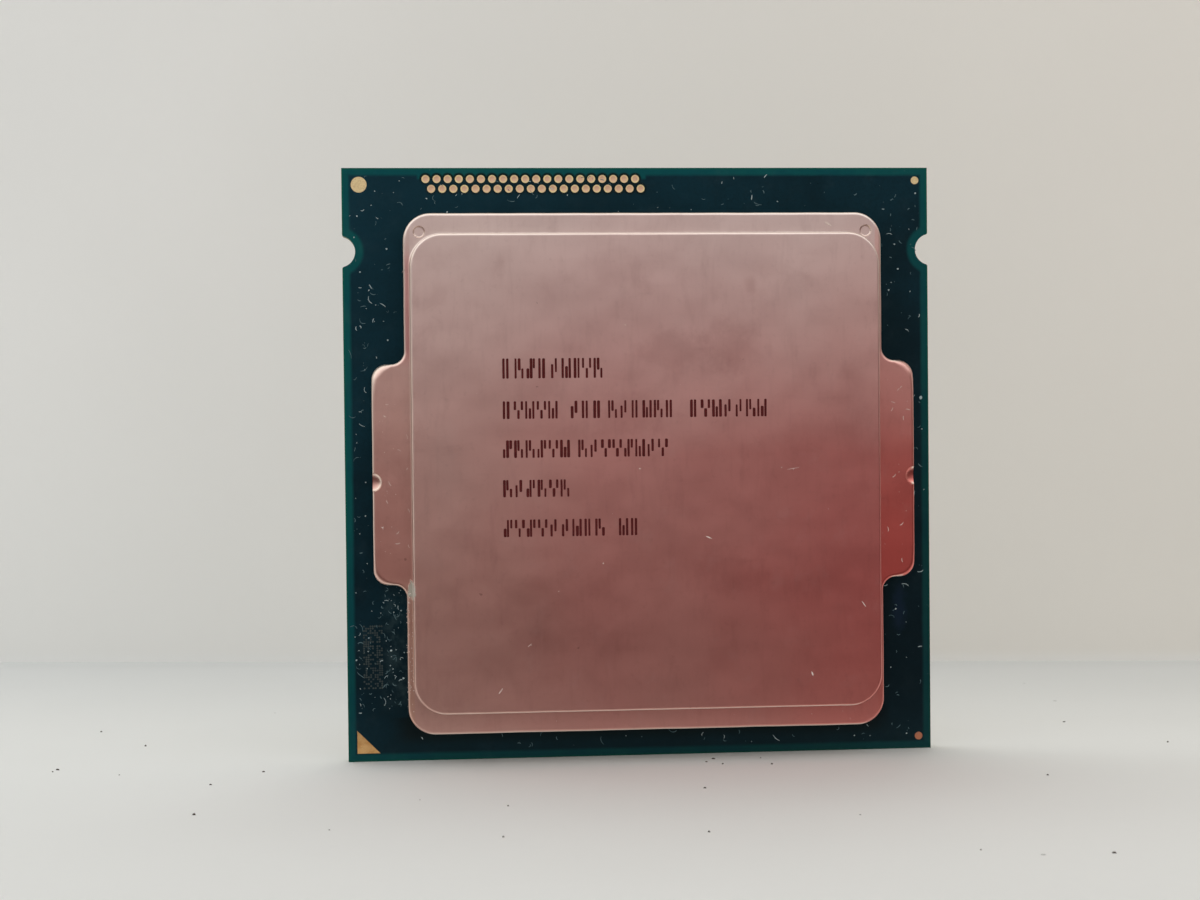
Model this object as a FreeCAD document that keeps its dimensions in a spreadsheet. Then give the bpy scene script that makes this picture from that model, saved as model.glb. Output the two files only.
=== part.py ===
"""Land-grid processor package with a bonded metal lid (all sizes in millimetres).

The package is drawn lying flat: X to the right, Y up the face, Z out of the lid,
with Z = 0 on the land-side seating plane. Every sub-part is then stood up by one
shared rotation, so that the lid faces -Y, the land side faces +Y and the top
edge of the package is +Z. The origin is the centre of the seating plane.
"""
import FreeCAD, Part
import math
import os

import Sketcher

V = FreeCAD.Vector
doc = FreeCAD.newDocument("ProcessorPackage")

# --------------------------------------------------------------------------
# Driving dimensions: alias, value or formula, note
# --------------------------------------------------------------------------
SIZES = [
    ("substrate_side", 37.5, "side of the square substrate"),
    ("mask_thick", 0.05, "solder mask thickness, each side"),
    ("copper_thick", 0.02, "copper layer thickness"),
    ("buildup_thick", 0.10, "build-up dielectric thickness, each side"),
    ("core_thick", 0.76, "glass-epoxy core thickness"),
    ("core_copper_low", "=mask_thick + buildup_thick", "level of the lower core copper"),
    ("core_low", "=core_copper_low + copper_thick", "level of the core's lower face"),
    ("core_copper_top", "=core_low + core_thick", "level of the upper core copper"),
    ("buildup_top_low", "=core_copper_top + copper_thick", "level of the upper build-up"),
    ("mask_top_low", "=buildup_top_low + buildup_thick", "level of the upper copper and mask"),
    ("board_top", "=mask_top_low + mask_thick", "level of the substrate's top surface"),
    ("overcut", 0.01, "overrun of a cutting tool past a layer's face"),
    ("notch_radius", 1.0, "alignment notch radius"),
    ("notch_outset", 0.19, "notch centre, outside the substrate edge"),
    ("notch_level", 13.5, "notch centre above the package centre"),
    ("notch_entry", 0.14, "rounding where the notch meets the edge"),
    ("pullback", 0.44, "copper pull-back from the substrate edge"),
    ("notch_ring", 1.56, "copper clearance radius around a notch"),
    ("lid_low", 1.20, "level of the lid's foot"),
    ("flange_top", 3.05, "level of the lid flange's top"),
    ("lid_top", 4.38, "level of the lid's raised face"),
    ("lid_width", 30.26, "lid width between the ears' necks"),
    ("lid_length", 32.61, "lid length"),
    ("lid_shift", 0.555, "lid centre, below the package centre"),
    ("lid_aside", 0.17, "lid centre, right of the package centre"),
    ("ear_span", 34.36, "lid width across the ears"),
    ("ear_length", 13.84, "ear length along the side"),
    ("face_width", 29.44, "raised face width"),
    ("face_length", 29.84, "raised face length"),
    ("face_shift", 0.52, "raised face centre, below the package centre"),
    ("face_root", 0.4, "depth the raised face is sunk into the flange"),
    ("lid_corner", 1.7, "lid outline corner radius"),
    ("face_corner", 2.0, "raised face corner radius"),
    ("ear_corner", 0.95, "ear corner radius"),
    ("neck_fillet", 0.8, "fillet where an ear meets the side"),
    ("flange_round", 0.18, "rounding of the flange's top edge"),
    ("face_round", 0.16, "rounding of the raised face's edge"),
    ("step_fillet", 0.12, "fillet at the foot of the raised face"),
    ("cavity_width", 24.6, "lid cavity width"),
    ("cavity_length", 26.8, "lid cavity length"),
    ("cavity_top", 2.0, "level of the cavity ceiling"),
    ("cavity_corner", 1.2, "lid cavity corner radius"),
    ("dimple_radius", 0.38, "round gauge dimple in the flange"),
    ("dimple_depth", 0.10, "depth of the gauge dimples"),
    ("dimple_across", 14.12, "gauge dimples, each side of the lid centre"),
    ("dimple_up", 14.58, "gauge dimples above the package centre"),
    ("nick_radius", 0.6, "half-round nick in an ear's edge"),
    ("nick_depth", 0.35, "depth of the nick below the flange top"),
    ("nick_level", 1.0, "nicks, below the package centre"),
    ("seal_inset", 0.35, "sealant line, inside the lid's foot"),
    ("vent_gap", 2.4, "gap left in the sealant line"),
    ("vent_length", 4.0, "length of the gap's cut, across the line"),
    ("vent_outrun", 0.5, "gap's cut, beyond the lid's lower edge"),
    ("die_width", 8.1, "silicon die width"),
    ("die_length", 21.9, "silicon die length"),
    ("die_low", 1.17, "level of the die's active face"),
    ("die_thick", 0.75, "silicon die thickness"),
    ("die_shift", 0.5, "die centre, below the package centre"),
    ("window_margin", 0.4, "copper and mask window around the die"),
    ("tim_margin", 0.9, "thermal compound spread beyond the die"),
    ("bump_pitch", 0.72, "solder bump pitch"),
    ("bump_radius", 0.11, "solder bump radius"),
    ("bump_border", 0.6, "die width and length kept clear of bump centres"),
    ("fillet_reach", 0.8, "underfill spread beyond the die"),
    ("fillet_rise", 0.42, "underfill height above the substrate"),
    ("fillet_crest", 0.04, "underfill beyond the die at its upper edge"),
    ("via_lines", 12, "core vias along each side of their grid"),
    ("via_pitch", 2.9, "core via pitch"),
    ("via_radius", 0.16, "core via radius"),
    ("land_pitch", 0.9144, "land grid pitch"),
    ("land_wide", 0.60, "land size across"),
    ("land_tall", 0.70, "land size up"),
    ("land_chamfer", 0.17, "land corner chamfer"),
    ("land_proud", 0.015, "land thickness above the mask surface"),
    ("bay_land_low", 0.03, "level of the bay's solder lands"),
    ("land_lines", 40, "lands along each side of the full grid"),
    ("bay_columns", 16, "grid columns left out over the centre bay"),
    ("bay_rows", 24, "grid rows left out over the centre bay"),
    ("test_count", 20, "test pads in each of the two rows"),
    ("test_pitch", 0.7005, "test pad pitch"),
    ("test_radius", 0.255, "test pad radius"),
    ("test_first", -13.47, "first test pad, across"),
    ("test_level", 18.05, "upper test row above the centre"),
    ("test_drop", 0.616, "lower test row below the upper one"),
    ("pad_lift", 0.042, "height of the top-side pads"),
    ("pad_clear", 0.07, "copper clearance around a top-side pad"),
    ("marker_leg", 1.47, "leg of the pin-one triangle"),
    ("marker_left", 18.19, "triangle's square corner, left of the centre"),
    ("marker_down", 18.24, "triangle's square corner, below the centre"),
    ("chip_long", 1.0, "chip capacitor length"),
    ("chip_wide", 0.5, "chip capacitor width"),
    ("chip_tall", 0.5, "chip capacitor height"),
    ("chip_end", 0.22, "chip capacitor end-cap length"),
    ("chip_pad_out", 0.22, "solder beyond the chip's end"),
    ("small_long", 0.6, "lid-side chip capacitor length"),
    ("small_wide", 0.3, "lid-side chip capacitor width"),
    ("small_tall", 0.3, "lid-side chip capacitor height"),
    ("small_end", 0.14, "lid-side chip end-cap length"),
    ("small_pad_out", 0.14, "solder beyond the lid-side chip's end"),
]
sheet = doc.addObject("Spreadsheet::Sheet", "Dims")
for row, (alias, value, note) in enumerate(SIZES, start=1):
    sheet.set("A%d" % row, note)
    sheet.set("B%d" % row, str(value))
    sheet.setAlias("B%d" % row, alias)
doc.recompute()


def dim(alias):
    """A driving dimension, as the sheet holds it."""
    return float(sheet.get(alias))


HALF_SIDE = dim("substrate_side") / 2
TOP_LOW = dim("mask_top_low")
MASK = dim("mask_thick")
LIFT = dim("pad_lift")
OVERCUT = dim("overcut")

UPRIGHT = FreeCAD.Rotation(V(1, 0, 0), 90)
NODES = []


def keep(obj, label, aside=0.0):
    """Stand a finished sub-part upright, aside to the right of the package centre,
    and give it its name."""
    obj.Label = label
    obj.Placement = FreeCAD.Placement(V(aside, 0, 0), UPRIGHT)
    NODES.append(obj)
    return obj


# --------------------------------------------------------------------------
# Helpers: features and plain shapes
# --------------------------------------------------------------------------
def bind(obj, expressions):
    for prop, expression in expressions.items():
        obj.setExpression(prop, expression)
    return obj


def centred_box(name, width, length, low, thick, down="0"):
    """A block from sheet expressions, centred across and lying down below the centre."""
    return bind(doc.addObject("Part::Box", name), {
        "Length": width,
        "Width": length,
        "Height": thick,
        "Placement.Base.x": "-(%s) / 2" % width,
        "Placement.Base.y": "-(%s) / 2 - (%s)" % (length, down),
        "Placement.Base.z": low,
    })


def cut(name, base, tool):
    result = doc.addObject("Part::Cut", name)
    result.Base = base
    result.Tool = tool
    return result


def fuse(name, shapes):
    result = doc.addObject("Part::MultiFuse", name)
    result.Shapes = shapes
    return result


def solids(name, shapes):
    """A group of separate solids, held as one feature."""
    result = doc.addObject("Part::Feature", name)
    result.Shape = Part.makeCompound(shapes)
    return result


def flat_copy(name, obj):
    """An upright sub-part's shape, laid flat again for use as a cutting tool."""
    result = doc.addObject("Part::Feature", name)
    doc.recompute()
    flat = obj.Shape.copy()
    flat.Placement = FreeCAD.Placement()
    result.Shape = flat
    return result


def prism(points, low, thick):
    corners = [V(x, y, low) for x, y in points]
    face = Part.Face(Part.makePolygon(corners + [corners[0]]))
    return face.extrude(V(0, 0, thick))


def disc(radius, low, thick):
    return Part.makeCylinder(radius, thick, V(0, 0, low))


def moved(shape, x, y, turn=0):
    result = shape.copy()
    if turn:
        result.rotate(V(0, 0, 0), V(0, 0, 1), turn)
    result.translate(V(x, y, 0))
    return result


def copies(shapes, places):
    """Every shape at every place; a place is x, y and perhaps a turn in degrees."""
    return [moved(shape, *place) for place in places for shape in shapes]


def grid_points(columns, rows, pitch, down=0.0):
    return [
        ((i - (columns - 1) / 2) * pitch, (j - (rows - 1) / 2) * pitch - down)
        for i in range(columns)
        for j in range(rows)
    ]


# --------------------------------------------------------------------------
# Helpers: PartDesign bodies
# --------------------------------------------------------------------------
def new_body(name):
    return doc.addObject("PartDesign::Body", name)


def flat_sketch(body, name, z):
    """An empty sketch on a plane parallel to XY at height z."""
    plane = next(f for f in body.Origin.OriginFeatures if f.Role == "XY_Plane")
    sketch = body.newObject("Sketcher::SketchObject", name)
    sketch.AttachmentSupport = [(plane, "")]
    sketch.MapMode = "FlatFace"
    sketch.setExpression("AttachmentOffset.Base.z", z)
    return sketch


def drive(sketch, tag, constraint, expression):
    """Add a named constraint and bind it to the sheet."""
    sketch.renameConstraint(sketch.addConstraint(constraint), tag)
    sketch.setExpression("Constraints." + tag, expression)


def polygon_sketch(body, name, z, points, directions, drivers):
    """A closed outline. directions are (kind, line) pairs; drivers are
    (tag, kind, constraint arguments, expression)."""
    sketch = flat_sketch(body, name, z)
    count = len(points)
    corners = [V(x, y, 0) for x, y in points]
    for i in range(count):
        sketch.addGeometry(Part.LineSegment(corners[i], corners[(i + 1) % count]), False)
    for i in range(count):
        sketch.addConstraint(Sketcher.Constraint("Coincident", i, 2, (i + 1) % count, 1))
    for kind, line in directions:
        sketch.addConstraint(Sketcher.Constraint(kind, line))
    for tag, kind, args, expression in drivers:
        drive(sketch, tag, Sketcher.Constraint(kind, *args), expression)
    return sketch


def rect_sketch(body, name, width, length, down, z):
    """A rectangle centred across, with its centre down below the package centre."""
    return polygon_sketch(
        body,
        name,
        z,
        [(-5, -5), (5, -5), (5, 5), (-5, 5)],
        [("Horizontal", 0), ("Vertical", 1), ("Horizontal", 2), ("Vertical", 3)],
        [
            ("width", "DistanceX", (0, 1, 0, 2, 10.0), width),
            ("length", "DistanceY", (1, 1, 1, 2, 10.0), length),
            ("left", "DistanceX", (0, 1, -1, 1, 5.0), "(%s) / 2" % width),
            ("bottom", "DistanceY", (0, 1, -1, 1, 5.0), "(%s) / 2 + (%s)" % (length, down)),
        ],
    )


def round_sketch(body, name, radius, x, y, z):
    """A circle of the given radius centred at x, y (sheet expressions)."""
    sketch = flat_sketch(body, name, z)
    sketch.setExpression("AttachmentOffset.Base.x", x)
    sketch.setExpression("AttachmentOffset.Base.y", y)
    sketch.addGeometry(Part.Circle(V(0, 0, 0), V(0, 0, 1), 1.0), False)
    sketch.addConstraint(Sketcher.Constraint("Coincident", 0, 3, -1, 1))
    drive(sketch, "radius", Sketcher.Constraint("Radius", 0, 1.0), radius)
    return sketch


def pad(body, name, sketch, length):
    feature = body.newObject("PartDesign::Pad", name)
    feature.Profile = sketch
    feature.setExpression("Length", length)
    doc.recompute()
    return feature


def pocket(body, name, sketch, length, back=False):
    """Cut down from the sketch, or up from it when back is set."""
    feature = body.newObject("PartDesign::Pocket", name)
    feature.Profile = sketch
    feature.Reversed = back
    feature.setExpression("Length", length)
    before = feature.BaseFeature.Shape.Volume
    doc.recompute()
    if not feature.Shape.Volume < before - 1e-6:
        raise RuntimeError(name + " removed nothing")
    return feature


def round_edges(body, name, base, test, radius):
    """Fillet those edges of the base feature that pass the test."""
    edges = ["Edge%d" % i for i, e in enumerate(base.Shape.Edges, start=1) if test(e)]
    if not edges:
        raise RuntimeError(name + " found no edges")
    feature = body.newObject("PartDesign::Fillet", name)
    feature.Base = (base, edges)
    feature.setExpression("Radius", radius)
    doc.recompute()
    if "Invalid" in feature.State or feature.Shape.isNull():
        raise RuntimeError(name + " failed")
    return feature


def climbs(edge):
    """True for an edge whose ends are at different heights."""
    return abs(edge.Vertexes[0].Point.z - edge.Vertexes[-1].Point.z) > 1e-3


def corners_of(width, length, down, tolerance=0.02):
    """Test for an edge parallel to Z at a corner of a rectangle, which is centred
    across and lies down below the package centre."""

    def test(edge):
        start, end = edge.Vertexes[0].Point, edge.Vertexes[-1].Point
        return (
            (start - V(end.x, end.y, start.z)).Length < 1e-6
            and climbs(edge)
            and abs(abs(start.x) - width / 2) < tolerance
            and abs(abs(start.y + down) - length / 2) < tolerance
        )

    return test


def level_at(z, extra=None):
    """Test for an edge in the plane at height z; extra tests its middle point."""

    def test(edge):
        middle = edge.valueAt((edge.FirstParameter + edge.LastParameter) / 2)
        points = [vertex.Point for vertex in edge.Vertexes] + [middle]
        flat = all(abs(point.z - z) < 1e-5 for point in points)
        return flat and (extra is None or extra(middle))

    return test


# --------------------------------------------------------------------------
# Notch tools shared by the substrate's layers
# --------------------------------------------------------------------------
TOOL_LOW = -1
TOOL_HEIGHT = 3
TOOL_OUTRUN = 1.5


def notch_prism(side):
    """One alignment notch: a circle just outside the edge, with a small rounding
    where it runs out into the edge. side is -1 for left, +1 for right."""
    radius, entry = dim("notch_radius"), dim("notch_entry")
    outset, level = dim("notch_outset"), dim("notch_level")
    reach = radius + entry
    rise = math.sqrt(reach**2 - (outset + entry) ** 2)
    centre = V(side * (HALF_SIDE + outset), level, 0)
    deepest = centre - V(side * radius, 0, 0)

    def lip(up):
        """Ends and middle of one entry rounding."""
        lip_centre = V(side * (HALF_SIDE - entry), level + up * rise, 0)
        on_edge = V(side * HALF_SIDE, lip_centre.y, 0)
        on_notch = centre + (lip_centre - centre) * (radius / reach)
        toward = (on_edge - lip_centre) + (on_notch - lip_centre)
        middle = lip_centre + toward.normalize() * entry
        return on_edge, middle, on_notch

    top_edge, top_middle, top_notch = lip(1)
    low_edge, low_middle, low_notch = lip(-1)
    far_top = V(side * (HALF_SIDE + TOOL_OUTRUN), top_edge.y, 0)
    far_low = V(side * (HALF_SIDE + TOOL_OUTRUN), low_edge.y, 0)
    outline = Part.Wire([
        Part.Arc(top_edge, top_middle, top_notch).toShape(),
        Part.Arc(top_notch, deepest, low_notch).toShape(),
        Part.Arc(low_notch, low_middle, low_edge).toShape(),
        Part.makeLine(low_edge, far_low),
        Part.makeLine(far_low, far_top),
        Part.makeLine(far_top, top_edge),
    ])
    solid = Part.Face(outline).extrude(V(0, 0, TOOL_HEIGHT))
    solid.translate(V(0, 0, TOOL_LOW))
    return solid


def ring_cylinder(name, sign):
    """Round clearance around one notch, for the copper layers."""
    return bind(doc.addObject("Part::Cylinder", name), {
        "Radius": "Dims.notch_ring",
        "Height": str(TOOL_HEIGHT),
        "Placement.Base.x": "%s * (Dims.substrate_side / 2 + Dims.notch_outset)" % sign,
        "Placement.Base.y": "Dims.notch_level",
        "Placement.Base.z": str(TOOL_LOW),
    })


NOTCH = solids("notch_tool", [notch_prism(side) for side in (-1, 1)])
RING = fuse("notch_clearance", [
    ring_cylinder("notch_clearance_left", "-1"),
    ring_cylinder("notch_clearance_right", "1"),
])

# --------------------------------------------------------------------------
# Top-side pads: two staggered rows of test pads, three corner fiducials and the
# pin-one corner triangle
# --------------------------------------------------------------------------
TEST_COUNT = int(dim("test_count"))
TEST_POINTS = [
    (
        dim("test_first") + (i + 0.5 * row) * dim("test_pitch"),
        dim("test_level") - row * dim("test_drop"),
    )
    for row in range(2)
    for i in range(TEST_COUNT)
]
# x, y and radius of each round corner pad
CORNER_PADS = [(-17.67, 17.70, 0.50), (17.95, 17.94, 0.25), (17.96, -17.95, 0.25)]


def corner_triangle(left, down, leg):
    """Right-angled triangle in the lower left corner."""
    return [(-left, -down), (-left + leg, -down), (-left, -down + leg)]


MARKER_LEG, MARKER_LEFT, MARKER_DOWN = (
    dim("marker_leg"), dim("marker_left"), dim("marker_down")
)
TRIANGLE = corner_triangle(MARKER_LEFT, MARKER_DOWN, MARKER_LEG)


def test_discs(thick):
    return copies([disc(dim("test_radius"), TOP_LOW, thick)], TEST_POINTS)


def corner_discs(low, thick, grow=0.0):
    return [moved(disc(r + grow, low, thick), x, y) for x, y, r in CORNER_PADS]


keep(solids("TestPads", test_discs(LIFT)), "test_pads")
keep(solids("CornerPads", corner_discs(TOP_LOW, LIFT)), "corner_fiducial_pads")

marker = new_body("PinOneBody")
marker_sketch = polygon_sketch(
    marker,
    "PinOneOutline",
    "Dims.mask_top_low",
    TRIANGLE,
    [("Horizontal", 0), ("Vertical", 2)],
    [
        ("leg_across", "DistanceX", (0, 1, 0, 2, MARKER_LEG), "Dims.marker_leg"),
        ("leg_up", "DistanceY", (0, 1, 1, 2, MARKER_LEG), "Dims.marker_leg"),
        ("corner_x", "DistanceX", (0, 1, -1, 1, MARKER_LEFT), "Dims.marker_left"),
        ("corner_y", "DistanceY", (0, 1, -1, 1, MARKER_DOWN), "Dims.marker_down"),
    ],
)
pad(marker, "PinOnePad", marker_sketch, "Dims.pad_lift")
keep(marker, "pin_one_marker")

# openings for those pads through the mask
mask_openings = test_discs(MASK) + corner_discs(TOP_LOW, MASK)
mask_openings.append(prism(TRIANGLE, TOP_LOW, MASK))

# wider openings through the copper
OPEN_LOW = TOP_LOW - OVERCUT
OPEN_THICK = MASK + 2 * OVERCUT
# the cleared strip around the test pads, measured from the pads' centre lines
STRIP_LEFT_MARGIN = 0.45
STRIP_RIGHT_MARGIN = 0.15
STRIP_DEPTH = 0.95
# how far a corner clearance overruns the copper's corner
CORNER_OVERRUN = 0.05
# the cleared triangle around the pin-one marker
CLEAR_CORNER = 18.35
CLEAR_LEG = 1.99

strip_left = dim("test_first") - STRIP_LEFT_MARGIN
strip_right = dim("test_first") + TEST_COUNT * dim("test_pitch") + STRIP_RIGHT_MARGIN
strip_low = dim("test_level") - STRIP_DEPTH
strip = [
    (strip_left, strip_low),
    (strip_right, strip_low),
    (strip_right, HALF_SIDE),
    (strip_left, HALF_SIDE),
]
copper_openings = [prism(strip, OPEN_LOW, OPEN_THICK)]
copper_openings += corner_discs(OPEN_LOW, OPEN_THICK, dim("pad_clear"))
# each corner pad's clearance runs out to the copper's corner
corner_reach = HALF_SIDE - dim("pullback") + CORNER_OVERRUN
for x, y, _ in CORNER_PADS:
    far_x = math.copysign(corner_reach, x)
    far_y = math.copysign(corner_reach, y)
    outline = [(x, y), (far_x, y), (far_x, far_y), (x, far_y)]
    copper_openings.append(prism(outline, OPEN_LOW, OPEN_THICK))
clear_triangle = corner_triangle(CLEAR_CORNER, CLEAR_CORNER, CLEAR_LEG)
copper_openings.append(prism(clear_triangle, OPEN_LOW, OPEN_THICK))


# --------------------------------------------------------------------------
# Substrate core, its copper and the upper build-up
# --------------------------------------------------------------------------
SIDE = "Dims.substrate_side"
COPPER_SIDE = "Dims.substrate_side - 2 * Dims.pullback"


def plain_layer(label, low, thick, tool=None):
    """A full-size layer with both notches."""
    blank = centred_box(label + "_blank", SIDE, SIDE, low, thick)
    layer = cut(label + "_outline", blank, NOTCH)
    if tool is not None:
        layer = cut(label + "_cut", layer, tool)
    return keep(layer, label)


def copper_layer(label, low, tools=()):
    """A copper layer held back from the edge and the notches."""
    blank = centred_box(label + "_blank", COPPER_SIDE, COPPER_SIDE, low, "Dims.copper_thick")
    layer = cut(label + "_outline", blank, RING)
    for i, tool in enumerate(tools):
        layer = cut("%s_cut%d" % (label, i), layer, tool)
    return keep(layer, label)


# the core vias fill their holes in the core
via_lines = int(dim("via_lines"))
via = disc(dim("via_radius"), dim("core_low"), dim("core_thick"))
vias = copies([via], grid_points(via_lines, via_lines, dim("via_pitch")))
keep(solids("CoreVias", vias), "core_vias")
via_tool = solids("core_via_tool", vias)

plain_layer("substrate_core", "Dims.core_low", "Dims.core_thick", via_tool)
plain_layer("buildup_layers_top", "Dims.buildup_top_low", "Dims.buildup_thick")
copper_layer("core_copper_bottom", "Dims.core_copper_low")
copper_layer("core_copper_top", "Dims.core_copper_top")

# --------------------------------------------------------------------------
# Chip capacitors: ceramic blocks with two plated end caps on solder lands
# --------------------------------------------------------------------------
SOLDER_GAP = 0.02  # solder under the end caps
BODY_INSET = 0.012  # ceramic inside the end caps' faces
CAP_ROUND = 0.05  # end cap's edge rounding, at most
CAP_ROUND_SHARE = 0.12  # the same, as a share of the chip's height
WEDGE_SLOPE = 0.45  # run of the joint's outer slope, as a share of its reach
WEDGE_LOW = 0.22  # slope's upper end, as a share of the chip's height
WEDGE_HIGH = 0.62  # joint's top on the cap, as a share of the chip's height
LAND_INNER = 0.02  # land beyond the cap's inner end
LAND_OUTER = 0.03  # land beyond the joint's tip
LAND_SIDE = 0.05  # land beyond the chip's side

# centre x, centre y, turn in degrees; first the land-side bay
BAY_CHIPS = [(x, y, 90) for y in (9.2, 7.4, 5.6) for x in (-5.1, -1.7, 1.7, 5.1)]
BAY_CHIPS += [(x, 0.9, 0) for x in (-5.1, 0.0, 5.1)]
BAY_CHIPS += [(x, y, 90) for y in (-5.2, -7.0, -8.8) for x in (-5.1, -1.7, 1.7)]
# under the lid, in a line beside the die
LID_CHIPS = [(-8.3, 8.7 - 1.45 * i, 90) for i in range(14)]


def chip_parts(size, base, direction):
    """One chip capacitor along X: its ceramic, two end caps and two solder joints.
    It stands on level base and grows in the given direction (+1 up, -1 down)."""
    length, wide, tall, end, out = size
    half, cap_inner = length / 2, length / 2 - end

    def level(height):
        return base + direction * height

    def block(x0, x1, half_wide, height0, height1):
        low, high = sorted((level(height0), level(height1)))
        return Part.makeBox(x1 - x0, 2 * half_wide, high - low, V(x0, -half_wide, low))

    def end_cap(side):
        """End cap, rounded at the edges of its outer face."""
        x0, x1 = sorted((side * cap_inner, side * half))
        cap = block(x0, x1, wide / 2, SOLDER_GAP, SOLDER_GAP + tall)
        outer = [
            edge
            for edge in cap.Edges
            if all(abs(vertex.Point.x - side * half) < 1e-6 for vertex in edge.Vertexes)
        ]
        return cap.makeFillet(min(CAP_ROUND, tall * CAP_ROUND_SHARE), outer)

    def joint(side, cap):
        """Solder wedge up the end face, joined to the thin solder under the cap."""
        tip = side * (half + out)
        shoulder = tip - side * out * WEDGE_SLOPE
        corners = [
            V(side * half, -wide / 2, level(0)),
            V(tip, -wide / 2, level(0)),
            V(shoulder, -wide / 2, level(SOLDER_GAP + tall * WEDGE_LOW)),
            V(side * half, -wide / 2, level(SOLDER_GAP + tall * WEDGE_HIGH)),
        ]
        face = Part.Face(Part.makePolygon(corners + [corners[0]]))
        wedge = face.extrude(V(0, wide, 0)).cut(cap).Solids[0]
        x0, x1 = sorted((side * cap_inner, side * half))
        under = block(x0, x1, wide / 2, 0, SOLDER_GAP)
        return wedge.fuse(under).removeSplitter().Solids[0]

    ceramic = block(
        -cap_inner,
        cap_inner,
        wide / 2 - BODY_INSET,
        SOLDER_GAP + BODY_INSET,
        SOLDER_GAP + tall - BODY_INSET,
    )
    caps = [end_cap(side) for side in (-1, 1)]
    joints = [joint(side, cap) for side, cap in zip((-1, 1), caps)]
    return ceramic, caps, joints


def chip_group(places, size, base, direction, label):
    ceramic, caps, joints = chip_parts(size, base, direction)
    keep(solids(label + "Bodies", copies([ceramic], places)), label + "_bodies")
    keep(solids(label + "Ends", copies(caps, places)), label + "_end_caps")
    keep(solids(label + "Solder", copies(joints, places)), label + "_solder_joints")


def land_boxes(places, size, low, thick, grow=0.0):
    """The two solder lands of every chip, or their openings when grown."""
    length, wide, _, end, out = size
    half_wide = wide / 2 + LAND_SIDE + grow
    boxes = []
    for side in (-1, 1):
        inner = side * (length / 2 - end - LAND_INNER)
        outer = side * (length / 2 + out + LAND_OUTER)
        x0, x1 = sorted((inner, outer))
        corner = V(x0 - grow, -half_wide, low)
        boxes.append(Part.makeBox(x1 - x0 + 2 * grow, 2 * half_wide, thick, corner))
    return copies(boxes, places)


def chip_size(kind):
    return [dim(kind + part) for part in ("_long", "_wide", "_tall", "_end", "_pad_out")]


BAY_SIZE = chip_size("chip")
LID_SIZE = chip_size("small")
BAY_LOW = dim("bay_land_low")
chip_group(BAY_CHIPS, BAY_SIZE, BAY_LOW, -1, "land_side_capacitor")
chip_group(LID_CHIPS, LID_SIZE, TOP_LOW + LIFT, 1, "die_side_capacitor")
keep(
    solids(
        "ChipLands",
        land_boxes(BAY_CHIPS, BAY_SIZE, BAY_LOW, MASK - BAY_LOW)
        + land_boxes(LID_CHIPS, LID_SIZE, TOP_LOW, LIFT),
    ),
    "capacitor_solder_lands",
)

# --------------------------------------------------------------------------
# Top copper and top mask
# --------------------------------------------------------------------------
LID_LAND_CLEAR = 0.06  # copper clearance around a lid-side chip's land
WINDOW_WIDTH = "Dims.die_width + 2 * Dims.window_margin"
WINDOW_LENGTH = "Dims.die_length + 2 * Dims.window_margin"

# the die window: no copper and no mask under the die
window = centred_box(
    "die_window",
    WINDOW_WIDTH,
    WINDOW_LENGTH,
    "Dims.mask_top_low - Dims.overcut",
    "Dims.mask_thick + 2 * Dims.overcut",
    down="Dims.die_shift",
)
copper_top_tool = solids(
    "copper_top_tool",
    copper_openings
    + land_boxes(LID_CHIPS, LID_SIZE, OPEN_LOW, OPEN_THICK, LID_LAND_CLEAR),
)
copper_top = copper_layer("copper_plane_top", "Dims.mask_top_low", [copper_top_tool, window])

# the mask covers the copper and fills the gaps around it
copper_top_flat = flat_copy("copper_top_flat", copper_top)
mask_tool = solids(
    "mask_top_tool", mask_openings + land_boxes(LID_CHIPS, LID_SIZE, TOP_LOW, MASK)
)
mask = centred_box("mask_top_blank", SIDE, SIDE, "Dims.mask_top_low", "Dims.mask_thick")
for name, tool in (
    ("mask_top_outline", NOTCH),
    ("mask_top_pads", mask_tool),
    ("mask_top_window", window),
    ("mask_top_copper", copper_top_flat),
):
    mask = cut(name, mask, tool)
keep(mask, "solder_mask_top")

# --------------------------------------------------------------------------
# Land grid on the underside
# --------------------------------------------------------------------------
CORNER_LINES = 4  # lands left out along each leg of a corner triangle
NOTCH_ROWS = (33, 34, 35)  # rows whose outermost lands make way for the notches


def land_points():
    """Centres of the lands: a square grid less the centre bay, the four corner
    triangles, the places beside the notches, the two lines that part the two
    L-shaped fields and the four places diagonally off the bay's corners."""
    lines = int(dim("land_lines"))
    first_column = (lines - int(dim("bay_columns"))) // 2
    first_row = (lines - int(dim("bay_rows"))) // 2
    last_column, last_row = lines - 1 - first_column, lines - 1 - first_row

    def left_out(i, j):
        from_side, from_end = min(i, lines - 1 - i), min(j, lines - 1 - j)
        return (
            (first_column <= i <= last_column and first_row <= j <= last_row)
            or from_side + from_end < CORNER_LINES
            or (from_side == 0 and j in NOTCH_ROWS)
            or (i == first_column and j > last_row)
            or (i == last_column and j < first_row)
            or (i in (first_column - 1, last_column + 1) and j in (first_row - 1, last_row + 1))
        )

    places = [(i, j) for i in range(lines) for j in range(lines)]
    points = grid_points(lines, lines, dim("land_pitch"))
    return [point for place, point in zip(places, points) if not left_out(*place)]


def land_outline():
    """A rectangle with its four corners chamfered."""
    half_wide, half_tall = dim("land_wide") / 2, dim("land_tall") / 2
    inner_x = half_wide - dim("land_chamfer")
    inner_y = half_tall - dim("land_chamfer")
    return [
        (-inner_x, -half_tall),
        (inner_x, -half_tall),
        (half_wide, -inner_y),
        (half_wide, inner_y),
        (inner_x, half_tall),
        (-inner_x, half_tall),
        (-half_wide, inner_y),
        (-half_wide, -inner_y),
    ]


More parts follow.
